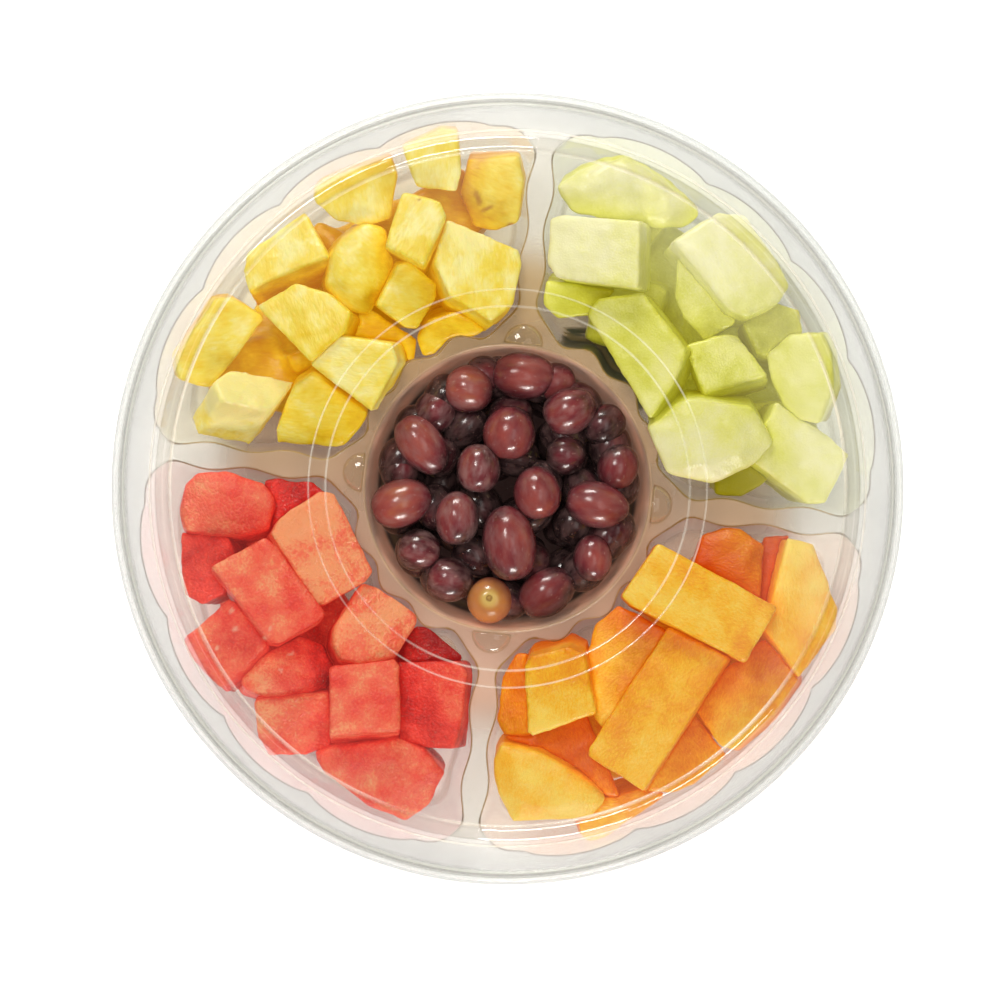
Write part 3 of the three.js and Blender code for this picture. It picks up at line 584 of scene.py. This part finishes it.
def fruit_heap(kind, cuts, grain, seed):
    """All chunks of a kind and its bed as one piece. A row of `cuts` gives a chunk's shade on one
    side and on the other, the direction from the first to the second in degrees, and how lumpy it
    is, the bed's row last. Each point keeps its shade, which grows darker down in the heap and on the
    chunks' sides as painted shade, how strongly it glows as painted light, most down in the heap and
    on the sides, and its place along and across its own chunk's fibres."""
    random = np.random.default_rng(seed)
    chunks = ["%s_%d" % (kind, i + 1) for i in range(len(cuts) - 1)]
    all_points, all_quads, shades, places, sides = [], [], [], [], []
    start = 0
    for number, (node, cut) in enumerate(zip(chunks + [kind + "_bed"], cuts)):
        first, second, heading, lump = cut
        bed = node.endswith("_bed")
        net = grain * (BED_NET if bed else 1)
        points, quads, normals = cut_surface(node, net, 2 + int(60 * max(lump - 0.1, 0)))
        points = points + normals * (knife_relief(points, seed + number, lump) - BED_LOW * bed)[:, None]
        points[:, 2] = np.maximum(points[:, 2], FLOOR + 0.1)
        turn = math.radians(heading)
        along = points @ (math.cos(turn), math.sin(turn), -0.3)
        across = points @ (-math.sin(turn), math.cos(turn), 0.2)
        share = np.clip((along - along.min()) / (along.max() - along.min()) * 1.4 - 0.2, 0, 1)
        shades.append(first + (second - first) * share)
        places.append(np.stack([along, across, points[:, 2]], axis=1) + random.uniform(0, 500, 3))
        sides.append(np.clip(1 - normals[:, 2], 0, 1))
        all_points.append(points)
        all_quads.append(quads + start)
        start += len(points)
    points = np.concatenate(all_points)
    piece = make_piece(kind + "_chunks", points, np.concatenate(all_quads))
    # painted shade and painted light: the shade grows darker down in the heap and on the chunks' sides, and
    # there the flesh is set to glow
    painted_light_depth = np.clip(heap_depth(points) / 13, -0.1, 1.1)
    side = np.concatenate(sides)
    give_value(piece, "shade", np.concatenate(shades) + 0.5 * painted_light_depth + 0.22 * side)
    give_value(piece, "painted_light_depth", np.clip(1.2 * painted_light_depth + 0.8 * side, 0.06, 1))
    give_value(piece, "place", np.concatenate(places))
    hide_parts(*chunks, kind + "_bed")
    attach(piece, "root")
    return piece, points


def light_of(red, green, blue):
    """A colour in everyday 0 to 255 numbers, as the share of light that the flesh sends back."""
    return tuple(0.80 * (c / 255) ** 2.2 for c in (red, green, blue)) + (1,)


def flesh_group():
    """Node group for cut flesh: fine grain and wide clouds, both about nought, on the place that each
    chunk keeps along and across its fibres."""
    group = bpy.data.node_groups.new("cut flesh", "ShaderNodeTree")
    for name, kind in (("Fineness", "Float"), ("Cloudiness", "Float"), ("Stretch", "Vector")):
        group.interface.new_socket(name=name, in_out="INPUT", socket_type="NodeSocket" + kind)
    for name in ("Grain", "Cloud"):
        group.interface.new_socket(name=name, in_out="OUTPUT", socket_type="NodeSocketFloat")
    given = group.nodes.new("NodeGroupInput")
    result = group.nodes.new("NodeGroupOutput")
    place = group.nodes.new("ShaderNodeAttribute")
    place.attribute_name = "place"
    drawn = group.nodes.new("ShaderNodeVectorMath")
    drawn.operation = "MULTIPLY"
    group.links.new(place.outputs["Vector"], drawn.inputs[0])
    group.links.new(given.outputs["Stretch"], drawn.inputs[1])
    for source, size, detail, name in (
        (drawn.outputs["Vector"], "Fineness", 4.0, "Grain"),
        (place.outputs["Vector"], "Cloudiness", 2.0, "Cloud"),
    ):
        noise = group.nodes.new("ShaderNodeTexNoise")
        noise.inputs["Detail"].default_value = detail
        centred = group.nodes.new("ShaderNodeMath")
        centred.operation = "SUBTRACT"
        centred.inputs[1].default_value = 0.5
        group.links.new(source, noise.inputs["Vector"])
        group.links.new(given.outputs[size], noise.inputs["Scale"])
        group.links.new(noise.outputs["Fac"], centred.inputs[0])
        group.links.new(centred.outputs["Value"], result.inputs[name])
    return group


FLESH = flesh_group()


def ramp_node(tree, source, stops):
    """A colour for each value of `source`, from a list of (value, colour), lowest value first."""
    low, high = stops[0][0], stops[-1][0]
    fit = tree.nodes.new("ShaderNodeMapRange")
    fit.inputs["From Min"].default_value = low
    fit.inputs["From Max"].default_value = high
    ramp = tree.nodes.new("ShaderNodeValToRGB")
    ramp.color_ramp.elements.remove(ramp.color_ramp.elements[0])
    ramp.color_ramp.elements[0].position = 0
    ramp.color_ramp.elements[0].color = stops[0][1]
    for value, colour in stops[1:]:
        stop = ramp.color_ramp.elements.new((value - low) / (high - low))
        stop.color = colour
    tree.links.new(source, fit.inputs["Value"])
    tree.links.new(fit.outputs["Result"], ramp.inputs["Fac"])
    return ramp.outputs["Color"]


def sum_node(tree, first, second, weight):
    """first + second * weight."""
    added = tree.nodes.new("ShaderNodeMath")
    added.operation = "MULTIPLY_ADD"
    tree.links.new(second, added.inputs[0])
    added.inputs[1].default_value = weight
    tree.links.new(first, added.inputs[2])
    return added.outputs["Value"]


def kept_value(tree, name):
    """A value kept on the mesh's points."""
    attribute = tree.nodes.new("ShaderNodeAttribute")
    attribute.attribute_name = name
    return attribute.outputs["Fac"]


def blend_node(tree, share, first, second):
    """Two colours mixed by a share that may change over the surface."""
    mix = tree.nodes.new("ShaderNodeMix")
    mix.data_type = "RGBA"
    tree.links.new(share, mix.inputs["Factor"])
    for socket, value in ((mix.inputs["A"], first), (mix.inputs["B"], second)):
        if isinstance(value, tuple):
            socket.default_value = value
        else:
            tree.links.new(value, socket)
    return mix.outputs["Result"]


def flesh_material(name, colours, fineness, cloudiness, stretch, mottle, cloud, bump, roughness, scatter,
                   marks=None, specks_and_glints=None):
    """Cut fruit: its colour follows the kept shade, unsettled by grain and clouds, and its grain is
    also a low relief. Down in the heap and on the sides the flesh glows a little in its own colour:
    painted light. `marks` is the colour of small spots that the piece keeps by name, `specks_and_glints`
    that of the grain's tips: pale spots that are partly the flesh's cells and partly painted glints of
    moisture."""
    material = bpy.data.materials.new(name)
    material.use_nodes = True
    tree = material.node_tree
    body = tree.nodes["Principled BSDF"]
    body.inputs["Roughness"].default_value = roughness
    body.inputs["Subsurface Weight"].default_value = 0.5
    body.inputs["Subsurface Radius"].default_value = scatter
    body.inputs["Subsurface Scale"].default_value = 0.006
    flesh = tree.nodes.new("ShaderNodeGroup")
    flesh.node_tree = FLESH
    flesh.inputs["Fineness"].default_value = fineness
    flesh.inputs["Cloudiness"].default_value = cloudiness
    flesh.inputs["Stretch"].default_value = stretch
    shade = sum_node(tree, kept_value(tree, "shade"), flesh.outputs["Grain"], mottle)
    shade = sum_node(tree, shade, flesh.outputs["Cloud"], cloud)
    colour = ramp_node(tree, shade, [(value, light_of(*rgb)) for value, rgb in colours])
    # pale spots at the grain's tips: partly the flesh's cells, partly painted glints of moisture
    if specks_and_glints:
        tips = ramp_node(
            tree, flesh.outputs["Grain"], [(0.08, (0, 0, 0, 1)), (0.3, (0.32, 0.32, 0.32, 1))])
        colour = blend_node(tree, tips, colour, light_of(*specks_and_glints))
    if marks:
        colour = blend_node(tree, kept_value(tree, "mark"), colour, light_of(*marks))
    tree.links.new(colour, body.inputs["Base Color"])
    # painted light: the flesh glows in its own colour by the kept glow value, most down in the heap and on
    # the sides
    glow = blend_node(tree, kept_value(tree, "painted_light_depth"), (0, 0, 0, 1), colour)
    tree.links.new(glow, body.inputs["Emission Color"])
    body.inputs["Emission Strength"].default_value = 0.3
    relief = tree.nodes.new("ShaderNodeBump")
    relief.inputs["Strength"].default_value = bump
    relief.inputs["Distance"].default_value = 0.001
    height = sum_node(tree, flesh.outputs["Grain"], flesh.outputs["Cloud"], 1.5)
    tree.links.new(height, relief.inputs["Height"])
    tree.links.new(relief.outputs["Normal"], body.inputs["Normal"])
    return material


def spots(points, places):
    """How much each point belongs to a small spot, from 0 to 1: a bell of distance in plan, over the
    half width of each spot, given as [x, y, half width along, half width across, heading], and only
    on what looks up from the top of the heap."""
    total = np.zeros(len(points))
    high = heap_depth(points) < 6
    for x, y, length, width, heading in places:
        c, s = math.cos(math.radians(heading)), math.sin(math.radians(heading))
        dx, dy = points[:, 0] - x, points[:, 1] - y
        along, across = (c * dx + s * dy) / length, (-s * dx + c * dy) / width
        total = np.maximum(total, np.exp(-(along**4 + across**4)) * high)
    return total


GRAIN = 0.9
PINEAPPLE_CUTS = [
    (0.15, 0.62, 90, 0.1), (0.42, 1.08, 165, 0.3), (0.12, 0.80, 110, 0.3), (0.28, 0.44, 250, 0.1),
    (0.02, 0.48, -80, 0.1), (0.30, 0.75, -30, 0.5), (0.10, 0.78, -70, 0.1), (0.40, 0.80, -10, 0.15),
    (0.25, 0.78, -60, 0.1), (0.35, 0.50, 200, 0.2), (-0.4, -0.1, 220, 0.3), (0.28, 0.02, 0, 0.1),
    (0.34, 0.64, 0, 0.3), (0.48, 0.68, 0, 0.2), (0.60, 0.74, 0, 0.2), (0.40, 0.70, 0, 0.3),
]
pineapple, pineapple_points = fruit_heap("pineapple", PINEAPPLE_CUTS, GRAIN, 11)
PINEAPPLE_EYES = [
    (-45.5, 106, 0.7, 0.5, 0), (-23.5, 109.8, 3.2, 1.1, -62), (-19.5, 106.0, 0.8, 2.6, -60),
    (-10, 101, 1.4, 0.7, 20), (-29.5, 107, 0.9, 3.6, 10), (-86, 101, 1.0, 0.5, 0),
]
give_value(pineapple, "mark", 0.75 * spots(pineapple_points, PINEAPPLE_EYES))
pineapple.data.materials.append(flesh_material(
    "pineapple flesh",
    colours=[
        (0.0, (254, 243, 158)), (0.35, (250, 226, 92)), (0.7, (244, 206, 45)),
        (1.0, (230, 180, 28)), (1.5, (214, 145, 14)),
    ],
    fineness=0.9, cloudiness=0.11, stretch=(0.4, 1.0, 1.0), mottle=0.55, cloud=1.3,
    bump=0.28, roughness=0.34, scatter=(1.0, 0.7, 0.2), marks=(178, 108, 30)))

# ---------------------------------------------------------------------------
# Honeydew: blocks cut from a peeled melon. The flesh is smooth and moist, pale
# cream near the seed hollow and green towards the rind.

HONEYDEW_CUTS = [
    (0.10, 0.45, -80, 0.7), (0.00, 0.45, -20, 0.1), (0.08, 0.53, -70, 0.25), (0.70, 0.85, 45, 0.1),
    (0.70, 0.45, -60, 0.1), (0.50, 0.70, -60, 0.15), (0.85, 0.95, 0, 0.1), (0.48, 0.66, -30, 0.2),
    (0.08, 0.58, 80, 0.35), (0.24, 0.54, 180, 0.2), (0.45, 0.85, -40, 0.2), (1.30, 1.40, 0, 0.2),
    (0.25, 0.50, 0, 0.3),
]
honeydew, _ = fruit_heap("honeydew", HONEYDEW_CUTS, GRAIN, 12)
honeydew.data.materials.append(flesh_material(
    "honeydew flesh",
    colours=[
        (0.0, (245, 241, 186)), (0.4, (235, 232, 138)), (0.7, (222, 221, 92)),
        (1.0, (203, 200, 60)), (1.5, (168, 158, 28)),
    ],
    fineness=1.3, cloudiness=0.07, stretch=(1.0, 1.0, 1.0), mottle=0.5, cloud=1.1,
    bump=0.2, roughness=0.30, scatter=(0.9, 1.0, 0.45)))

# ---------------------------------------------------------------------------
# Watermelon: cubes of red, juicy, grainy flesh, paler towards the rind, with a
# few soft white seeds.

WATERMELON_CUTS = [
    (0.35, 0.60, -45, 0.4), (0.80, 0.90, 0, 0.2), (-0.1, 0.20, -70, 0.1), (0.35, 0.60, -60, 0.1),
    (0.60, 0.75, 30, 0.2), (0.35, 0.60, -45, 0.3), (0.10, 0.35, -90, 0.2), (0.55, 0.35, -90, 0.1),
    (0.85, 0.60, 0, 0.2), (0.50, 0.25, -90, 0.35), (0.20, 0.50, -30, 0.2), (0.10, 0.85, 0, 0.6),
    (1.00, 1.10, 0, 0.2), (0.10, 0.40, 0, 0.3),
]
watermelon, watermelon_points = fruit_heap("watermelon", WATERMELON_CUTS, GRAIN, 13)
WATERMELON_SEEDS = [
    (-100, -58, 1.3, 0.8, 60), (-98, -65, 1.2, 0.8, 20), (-104, -73, 1.0, 0.7, 80),
    (-76, -72, 1.1, 0.8, 10), (-79, -79, 0.9, 0.6, 120), (-86, -67, 1.0, 0.7, 40),
    (-84, -63, 0.8, 0.6, 90),
]
give_value(watermelon, "mark", 0.7 * spots(watermelon_points, WATERMELON_SEEDS))
watermelon.data.materials.append(flesh_material(
    "watermelon flesh",
    colours=[
        (0.0, (255, 166, 114)), (0.3, (253, 120, 87)), (0.65, (247, 78, 63)),
        (1.0, (220, 53, 46)), (1.5, (156, 32, 34)),
    ],
    fineness=1.0, cloudiness=0.10, stretch=(1.0, 1.0, 1.0), mottle=0.95, cloud=1.4,
    bump=0.8, roughness=0.22, scatter=(1.0, 0.3, 0.2), marks=(250, 200, 165), specks_and_glints=(255, 158, 128)))

# ---------------------------------------------------------------------------
# Cantaloupe: bars and wedges cut from a peeled melon. The flesh is smooth and
# orange, yellower towards the rind.

CANTALOUPE_CUTS = [
    (0.28, 0.40, -20, 0.1), (0.48, 0.64, 70, 0.1), (0.60, 0.12, -90, 0.1), (0.30, 0.95, 50, 0.2),
    (1.05, 0.95, 0, 0.2), (1.20, 1.20, 0, 0.2), (0.10, 0.35, -80, 0.2), (0.85, 0.30, -100, 0.2),
    (0.22, 0.00, -100, 0.45), (0.25, 0.40, 0, 0.2), (0.80, 0.30, -60, 0.2), (0.60, 0.50, -90, 0.2),
    (0.90, 0.70, -60, 0.2), (0.00, 0.30, 0, 0.3),
]
cantaloupe, _ = fruit_heap("cantaloupe", CANTALOUPE_CUTS, GRAIN, 14)
cantaloupe.data.materials.append(flesh_material(
    "cantaloupe flesh",
    colours=[
        (0.0, (255, 218, 98)), (0.35, (253, 190, 50)), (0.6, (247, 163, 38)),
        (1.0, (230, 118, 22)), (1.5, (206, 80, 10)),
    ],
    fineness=1.5, cloudiness=0.08, stretch=(0.5, 1.0, 1.0), mottle=0.75, cloud=1.1,
    bump=0.4, roughness=0.36, scatter=(1.0, 0.6, 0.15)))

# ---------------------------------------------------------------------------
# Grapes: whole red grapes off the stalk, heaped in the middle cup. The skin is
# dark and tight with a thin grey bloom, and shows the stalk scar on a few.

GRAPE_RINGS = 25
GRAPE_SIDES = 40
# x, y, length, width, yaw, height of the crest, how red it is, and how much bloom it has
GRAPES = [
    (1.5, 44, 25, 18.5, 5, 43, 0.62, 0.4), (-19, 36.5, 19, 18.5, 0, 44, 0.78, 1.0),
    (20.5, 32.5, 21, 18, 35, 45, 0.42, 1.0), (-1.5, 21.5, 21, 20.5, 90, 49, 0.60, 0.3),
    (-34.5, 13, 25.5, 17, -45, 45, 0.75, 1.0), (-12, 6.5, 19, 17, 90, 49, 0.38, 1.6),
    (21, 15.5, 16, 16, 0, 41, 0.05, 0.5), (41.5, 13, 18, 16, 80, 42, 0.45, 0.6),
    (-40, -10, 24, 19, 25, 44, 0.85, 0.9), (-18, -13.5, 21, 17, 95, 48, 0.38, 1.5),
    (11.5, -0.5, 20.5, 18.5, 110, 49, 0.62, 0.6), (35, -2.5, 25, 18, -5, 46, 0.60, 0.5),
    (3, -21, 29, 21, 105, 50, 0.55, 0.9), (-31.5, -27.5, 17, 16.5, 0, 42, 0.28, 1.5),
    (35.5, -23, 18.5, 15.5, 95, 43, 0.52, 0.6), (19.5, -38, 24, 18, 40, 43, 0.42, 0.4),
    (-18.5, -37.5, 18.5, 17.5, 0, 42, 0.15, 1.1), (-30.5, 27, 18, 16.5, 60, 39, 0.15, 1.2),
    (-13.5, 42.5, 16, 15, 0, 38, 0.15, 0.6), (14, 43, 16, 15, 30, 38, 0.4, 0.5),
    (34.5, 28.5, 18, 16, 50, 38, -0.1, 0.6), (43.5, -11, 17, 15, 80, 38, 0.0, 0.6),
    (-42, 3, 17, 15, 80, 36, 0.1, 0.8), (-2, -43.5, 18, 18, 0, 42, 1.7, 0.2),
]


def grape_form(length, width, seed):
    """A grape lying along X: a ball drawn out to its length, a little egg-shaped, with faint hollows
    and a dimple at the stalk's end."""
    around = np.linspace(0, 2 * math.pi, GRAPE_SIDES, endpoint=False)[None, :]
    along = np.linspace(0, math.pi, GRAPE_RINGS)[:, None]
    shape = np.sin(along) ** 0.92
    x = -np.cos(along) * length / 2 + 0 * around
    swell = 1 + 0.05 * np.cos(along)
    y = shape * swell * width / 2 * np.cos(around)
    z = shape * swell * width / 2 * np.sin(around)
    points = np.stack([x, y, z], axis=-1).reshape(-1, 3)
    out = points / np.linalg.norm(points, axis=1)[:, None]
    dimple = np.exp(-((points[:, 0] + length / 2) ** 2) / 0.35 - (points[:, 1] ** 2 + points[:, 2] ** 2) / 4)
    return points + out * (0.25 * value_noise(points, 7.0, seed) - 0.6 * dimple)[:, None]


def hidden_grapes(random):
    """The grapes half seen between and under the others: rings of them against the cup's wall and
    over the core, each as [x, y, length, width, yaw, crest, redness, bloom]."""
    rings = ((43, 15, 37), (38.5, 12, 22), (29, 9, 36), (26, 8, 24), (13, 5, 38), (12, 4, 26))
    more = []
    for radius, count, crest in rings:
        for i in range(count):
            turn = 2 * math.pi * (i + random.uniform(0, 0.5)) / count
            length = random.uniform(17, 20)
            # their redness is kept low: painted shade on the grapes down in the heap
            more.append((radius * math.cos(turn), radius * math.sin(turn), length, 16.5,
                         math.degrees(turn) + random.uniform(65, 115), crest + random.uniform(-1.5, 1.5),
                         random.uniform(-0.5, 0.1), 0.6))
    return more


def grape_heap():
    """All grapes as one mesh, each turned to its yaw and set with its crest at its height. The last
    of the named ones stands on end and shows its stalk scar. Each point keeps its redness, which is
    raised towards the grape's top as painted light and lowered on its sides as painted shade, its
    distance from the scar as a share of 3 mm, or of 6 mm on the one on end, its place on its own
    grape, pressed together lengthwise so that bloom lies in streaks, and how much bloom it has."""
    random = np.random.default_rng(5)
    faces_of_one = strip_faces(GRAPE_RINGS, GRAPE_SIDES)
    points, faces, hues, scars, places, blooms = [], [], [], [], [], []
    for number, (x, y, length, width, yaw, crest, hue, bloom) in enumerate(GRAPES + hidden_grapes(random)):
        one = grape_form(length, width, number)
        scar = np.hypot(one[:, 1], one[:, 2]) / 3 + (one[:, 0] > 0)
        places.append(one * (0.5, 1, 1) + random.uniform(0, 500, 3))
        if number == len(GRAPES) - 1:
            one = one @ np.array([[0, 0, -1], [0, 1, 0], [1, 0, 0]])
            scar = np.hypot(one[:, 0] + 0.4, one[:, 1] - 0.8) / 6 + (one[:, 2] < 0)
        c, s = math.cos(math.radians(yaw)), math.sin(math.radians(yaw))
        px, py, pz = one.T
        points.append(np.stack([c * px - s * py + x, s * px + c * py + y, pz + crest - width / 2], axis=1))
        faces.append(faces_of_one + number * GRAPE_RINGS * GRAPE_SIDES)
        # painted light and shade: each grape redder and lighter towards a direction near straight up, darker
        # on its sides
        painted_light_axis = np.append(random.uniform(-0.4, 0.4, 2), 1)
        outward = one / np.linalg.norm(one, axis=1)[:, None]
        hues.append(hue - 0.45 + 0.75 * (outward @ painted_light_axis))
        scars.append(scar)
        blooms.append(np.full(len(one), 0.3 + 0.7 * bloom))
    return [np.concatenate(kept) for kept in (points, faces, hues, scars, places, blooms)]


def noise_node(tree, scale, detail):
    """Noise on the place that each grape keeps, in millimetres."""
    place = tree.nodes.new("ShaderNodeAttribute")
    place.attribute_name = "place"
    noise = tree.nodes.new("ShaderNodeTexNoise")
    noise.inputs["Scale"].default_value = scale
    noise.inputs["Detail"].default_value = detail
    tree.links.new(place.outputs["Vector"], noise.inputs["Vector"])
    return noise.outputs["Fac"]


def grape_material():
    """Tight glossy skin: near-black purple to red brown by the grape's kept redness, which holds painted
    light and shade, clouded, with a thin grey bloom in patches, pale pores, and a yellow-green ring
    round a brown stalk scar."""
    material = bpy.data.materials.new("grape skin")
    material.use_nodes = True
    tree = material.node_tree
    body = tree.nodes["Principled BSDF"]
    body.inputs["Roughness"].default_value = 0.22
    body.inputs["Coat Weight"].default_value = 0.5
    body.inputs["Coat Roughness"].default_value = 0.12
    hue = sum_node(tree, kept_value(tree, "hue"), noise_node(tree, 0.14, 3), 1.4)
    skin = ramp_node(tree, hue, [
        (0.55, (0.014, 0.006, 0.007, 1)), (0.90, (0.050, 0.009, 0.013, 1)), (1.20, (0.145, 0.018, 0.026, 1)),
        (1.78, (0.30, 0.062, 0.050, 1)), (2.45, (0.50, 0.19, 0.05, 1))])
    bloom = ramp_node(
        tree, noise_node(tree, 0.32, 8), [(0.40, (0.04, 0.04, 0.04, 1)), (0.70, (0.44, 0.44, 0.44, 1))])
    dusted = tree.nodes.new("ShaderNodeMath")
    dusted.operation = "MULTIPLY"
    tree.links.new(bloom, dusted.inputs[0])
    tree.links.new(kept_value(tree, "bloom"), dusted.inputs[1])
    skin = blend_node(tree, dusted.outputs["Value"], skin, (0.29, 0.165, 0.155, 1))
    pores = ramp_node(tree, noise_node(tree, 0.8, 2), [(0.66, (0, 0, 0, 1)), (0.74, (0.35, 0.35, 0.35, 1))])
    skin = blend_node(tree, pores, skin, (0.42, 0.24, 0.20, 1))
    scar = kept_value(tree, "scar")
    ring = ramp_node(tree, scar, [
        (0.0, (0.10, 0.05, 0.01, 1)), (0.08, (0.45, 0.30, 0.07, 1)), (0.17, (0.20, 0.11, 0.02, 1)),
        (0.27, (0.58, 0.42, 0.11, 1)), (0.6, (0.54, 0.34, 0.08, 1)), (1.0, (0.36, 0.13, 0.05, 1))])
    share = ramp_node(
        tree, scar, [(0.0, (0.9, 0.9, 0.9, 1)), (0.45, (0.8, 0.8, 0.8, 1)), (0.85, (0, 0, 0, 1))])
    tree.links.new(blend_node(tree, share, skin, ring), body.inputs["Base Color"])
    relief = tree.nodes.new("ShaderNodeBump")
    relief.inputs["Strength"].default_value = 0.12
    relief.inputs["Distance"].default_value = 0.0006
    tree.links.new(noise_node(tree, 0.5, 3), relief.inputs["Height"])
    tree.links.new(relief.outputs["Normal"], body.inputs["Normal"])
    return material


grape_points, grape_faces, grape_hues, grape_scars, grape_places, grape_blooms = grape_heap()
grapes = make_piece("red_grapes", grape_points, grape_faces)
give_value(grapes, "hue", grape_hues)
give_value(grapes, "scar", grape_scars)
give_value(grapes, "place", grape_places)
give_value(grapes, "bloom", grape_blooms)
close_up(grapes, 0.02)
grapes.data.materials.append(grape_material())
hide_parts("grapes")
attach(grapes, "root")

# ---------------------------------------------------------------------------
# The table, a white sheet lit a little from below, the softboxes round it, a
# plain pale sky, and the camera straight above.

TABLE_HALF = 3000
TABLE_TOP = -0.05
table_corners = np.array([[-1, -1, 0], [1, -1, 0], [1, 1, 0], [-1, 1, 0]]) * TABLE_HALF + (0, 0, TABLE_TOP)
table = make_piece("table", table_corners, [[0, 1, 2, 3]], False)
white = bpy.data.materials.new("white table")
white.use_nodes = True
table_body = white.node_tree.nodes["Principled BSDF"]
table_body.inputs["Base Color"].default_value = (0.98, 0.98, 0.98, 1)
table_body.inputs["Roughness"].default_value = 0.8
table_body.inputs["Specular IOR Level"].default_value = 0.1
table_body.inputs["Emission Color"].default_value = (1, 1, 1, 1)
table_body.inputs["Emission Strength"].default_value = 0.28
table.data.materials.append(white)

VIEW_TURN = math.radians(6.25)


def soft_light(name, azimuth, elevation, distance, width, height, power):
    """A flat softbox that faces the platter, its azimuth clockwise from the top of the view."""
    lamp = bpy.data.lights.new(name, "AREA")
    lamp.shape = "RECTANGLE"
    lamp.size = width
    lamp.size_y = height
    lamp.energy = power
    lamp.color = (1.0, 0.98, 0.95)
    holder = bpy.data.objects.new(name, lamp)
    bpy.context.scene.collection.objects.link(holder)
    turn = VIEW_TURN + math.pi / 2 - math.radians(azimuth)
    rise = math.radians(elevation)
    flat = math.cos(rise)
    place = Vector((math.cos(turn) * flat, math.sin(turn) * flat, math.sin(rise))) * distance
    holder.location = place
    holder.rotation_euler = (-place).to_track_quat("-Z", "Y").to_euler()
    return holder


soft_light("softbox_key", -35, 62, 1.6, 0.35, 0.35, 6)
soft_light("softbox_far", -8, 26, 1.5, 0.6, 0.25, 13)
soft_light("softbox_near", 172, 24, 1.5, 0.6, 0.22, 13)
ceiling = soft_light("softbox_ceiling", 0, 88, 2.6, 2.2, 2.2, 46)
ceiling.visible_glossy = False
# this one is moved to hang east of the platter and face straight down, for a streak on the lid
beside = soft_light("softbox_beside", 90, 80, 1.5, 0.4, 1.0, 1.3)
beside.location = (0.39, 0.0, 1.5)
beside.rotation_euler = (0, 0, VIEW_TURN)
world = bpy.data.worlds.new("studio")
bpy.context.scene.world = world
world.use_nodes = True
sky = world.node_tree
sky_place = sky.nodes.new("ShaderNodeTexCoord")
sky_parts = sky.nodes.new("ShaderNodeSeparateXYZ")
sky_shade = sky.nodes.new("ShaderNodeMapRange")
sky_shade.inputs["From Min"].default_value = 0.3
sky_shade.inputs["From Max"].default_value = 0.9
sky_shade.inputs["To Min"].default_value = 0.35
sky_shade.inputs["To Max"].default_value = 0.08
sky.links.new(sky_place.outputs["Generated"], sky_parts.inputs["Vector"])
sky.links.new(sky_parts.outputs["Z"], sky_shade.inputs["Value"])
sky.links.new(sky_shade.outputs["Result"], sky.nodes["Background"].inputs["Strength"])

# metres, but for the sensor in millimetres and the picture's side and shift in pixels
PIXEL = 0.385 * MM
PICTURE_SIDE = 1000
SHIFT_RIGHT = -7.5
SHIFT_UP = -11.5
DISTANCE = 2.2
AIM_HEIGHT = 0.038
SENSOR = 36
lens = bpy.data.cameras.new("camera")
lens.sensor_width = SENSOR
lens.lens = SENSOR * DISTANCE / (PICTURE_SIDE * PIXEL)
camera = bpy.data.objects.new("camera", lens)
bpy.context.scene.collection.objects.link(camera)
right = np.array([math.cos(VIEW_TURN), math.sin(VIEW_TURN)])
up = np.array([-math.sin(VIEW_TURN), math.cos(VIEW_TURN)])
centre = right * (SHIFT_RIGHT * PIXEL) + up * (SHIFT_UP * PIXEL)
camera.location = (centre[0], centre[1], AIM_HEIGHT + DISTANCE)
camera.rotation_euler = (0, 0, VIEW_TURN)
lens.clip_start = 0.1
lens.clip_end = 20
bpy.context.scene.camera = camera
bpy.context.scene.view_settings.view_transform = "Standard"
bpy.context.scene.cycles.transparent_max_bounces = 24
bpy.context.scene.cycles.caustics_reflective = False
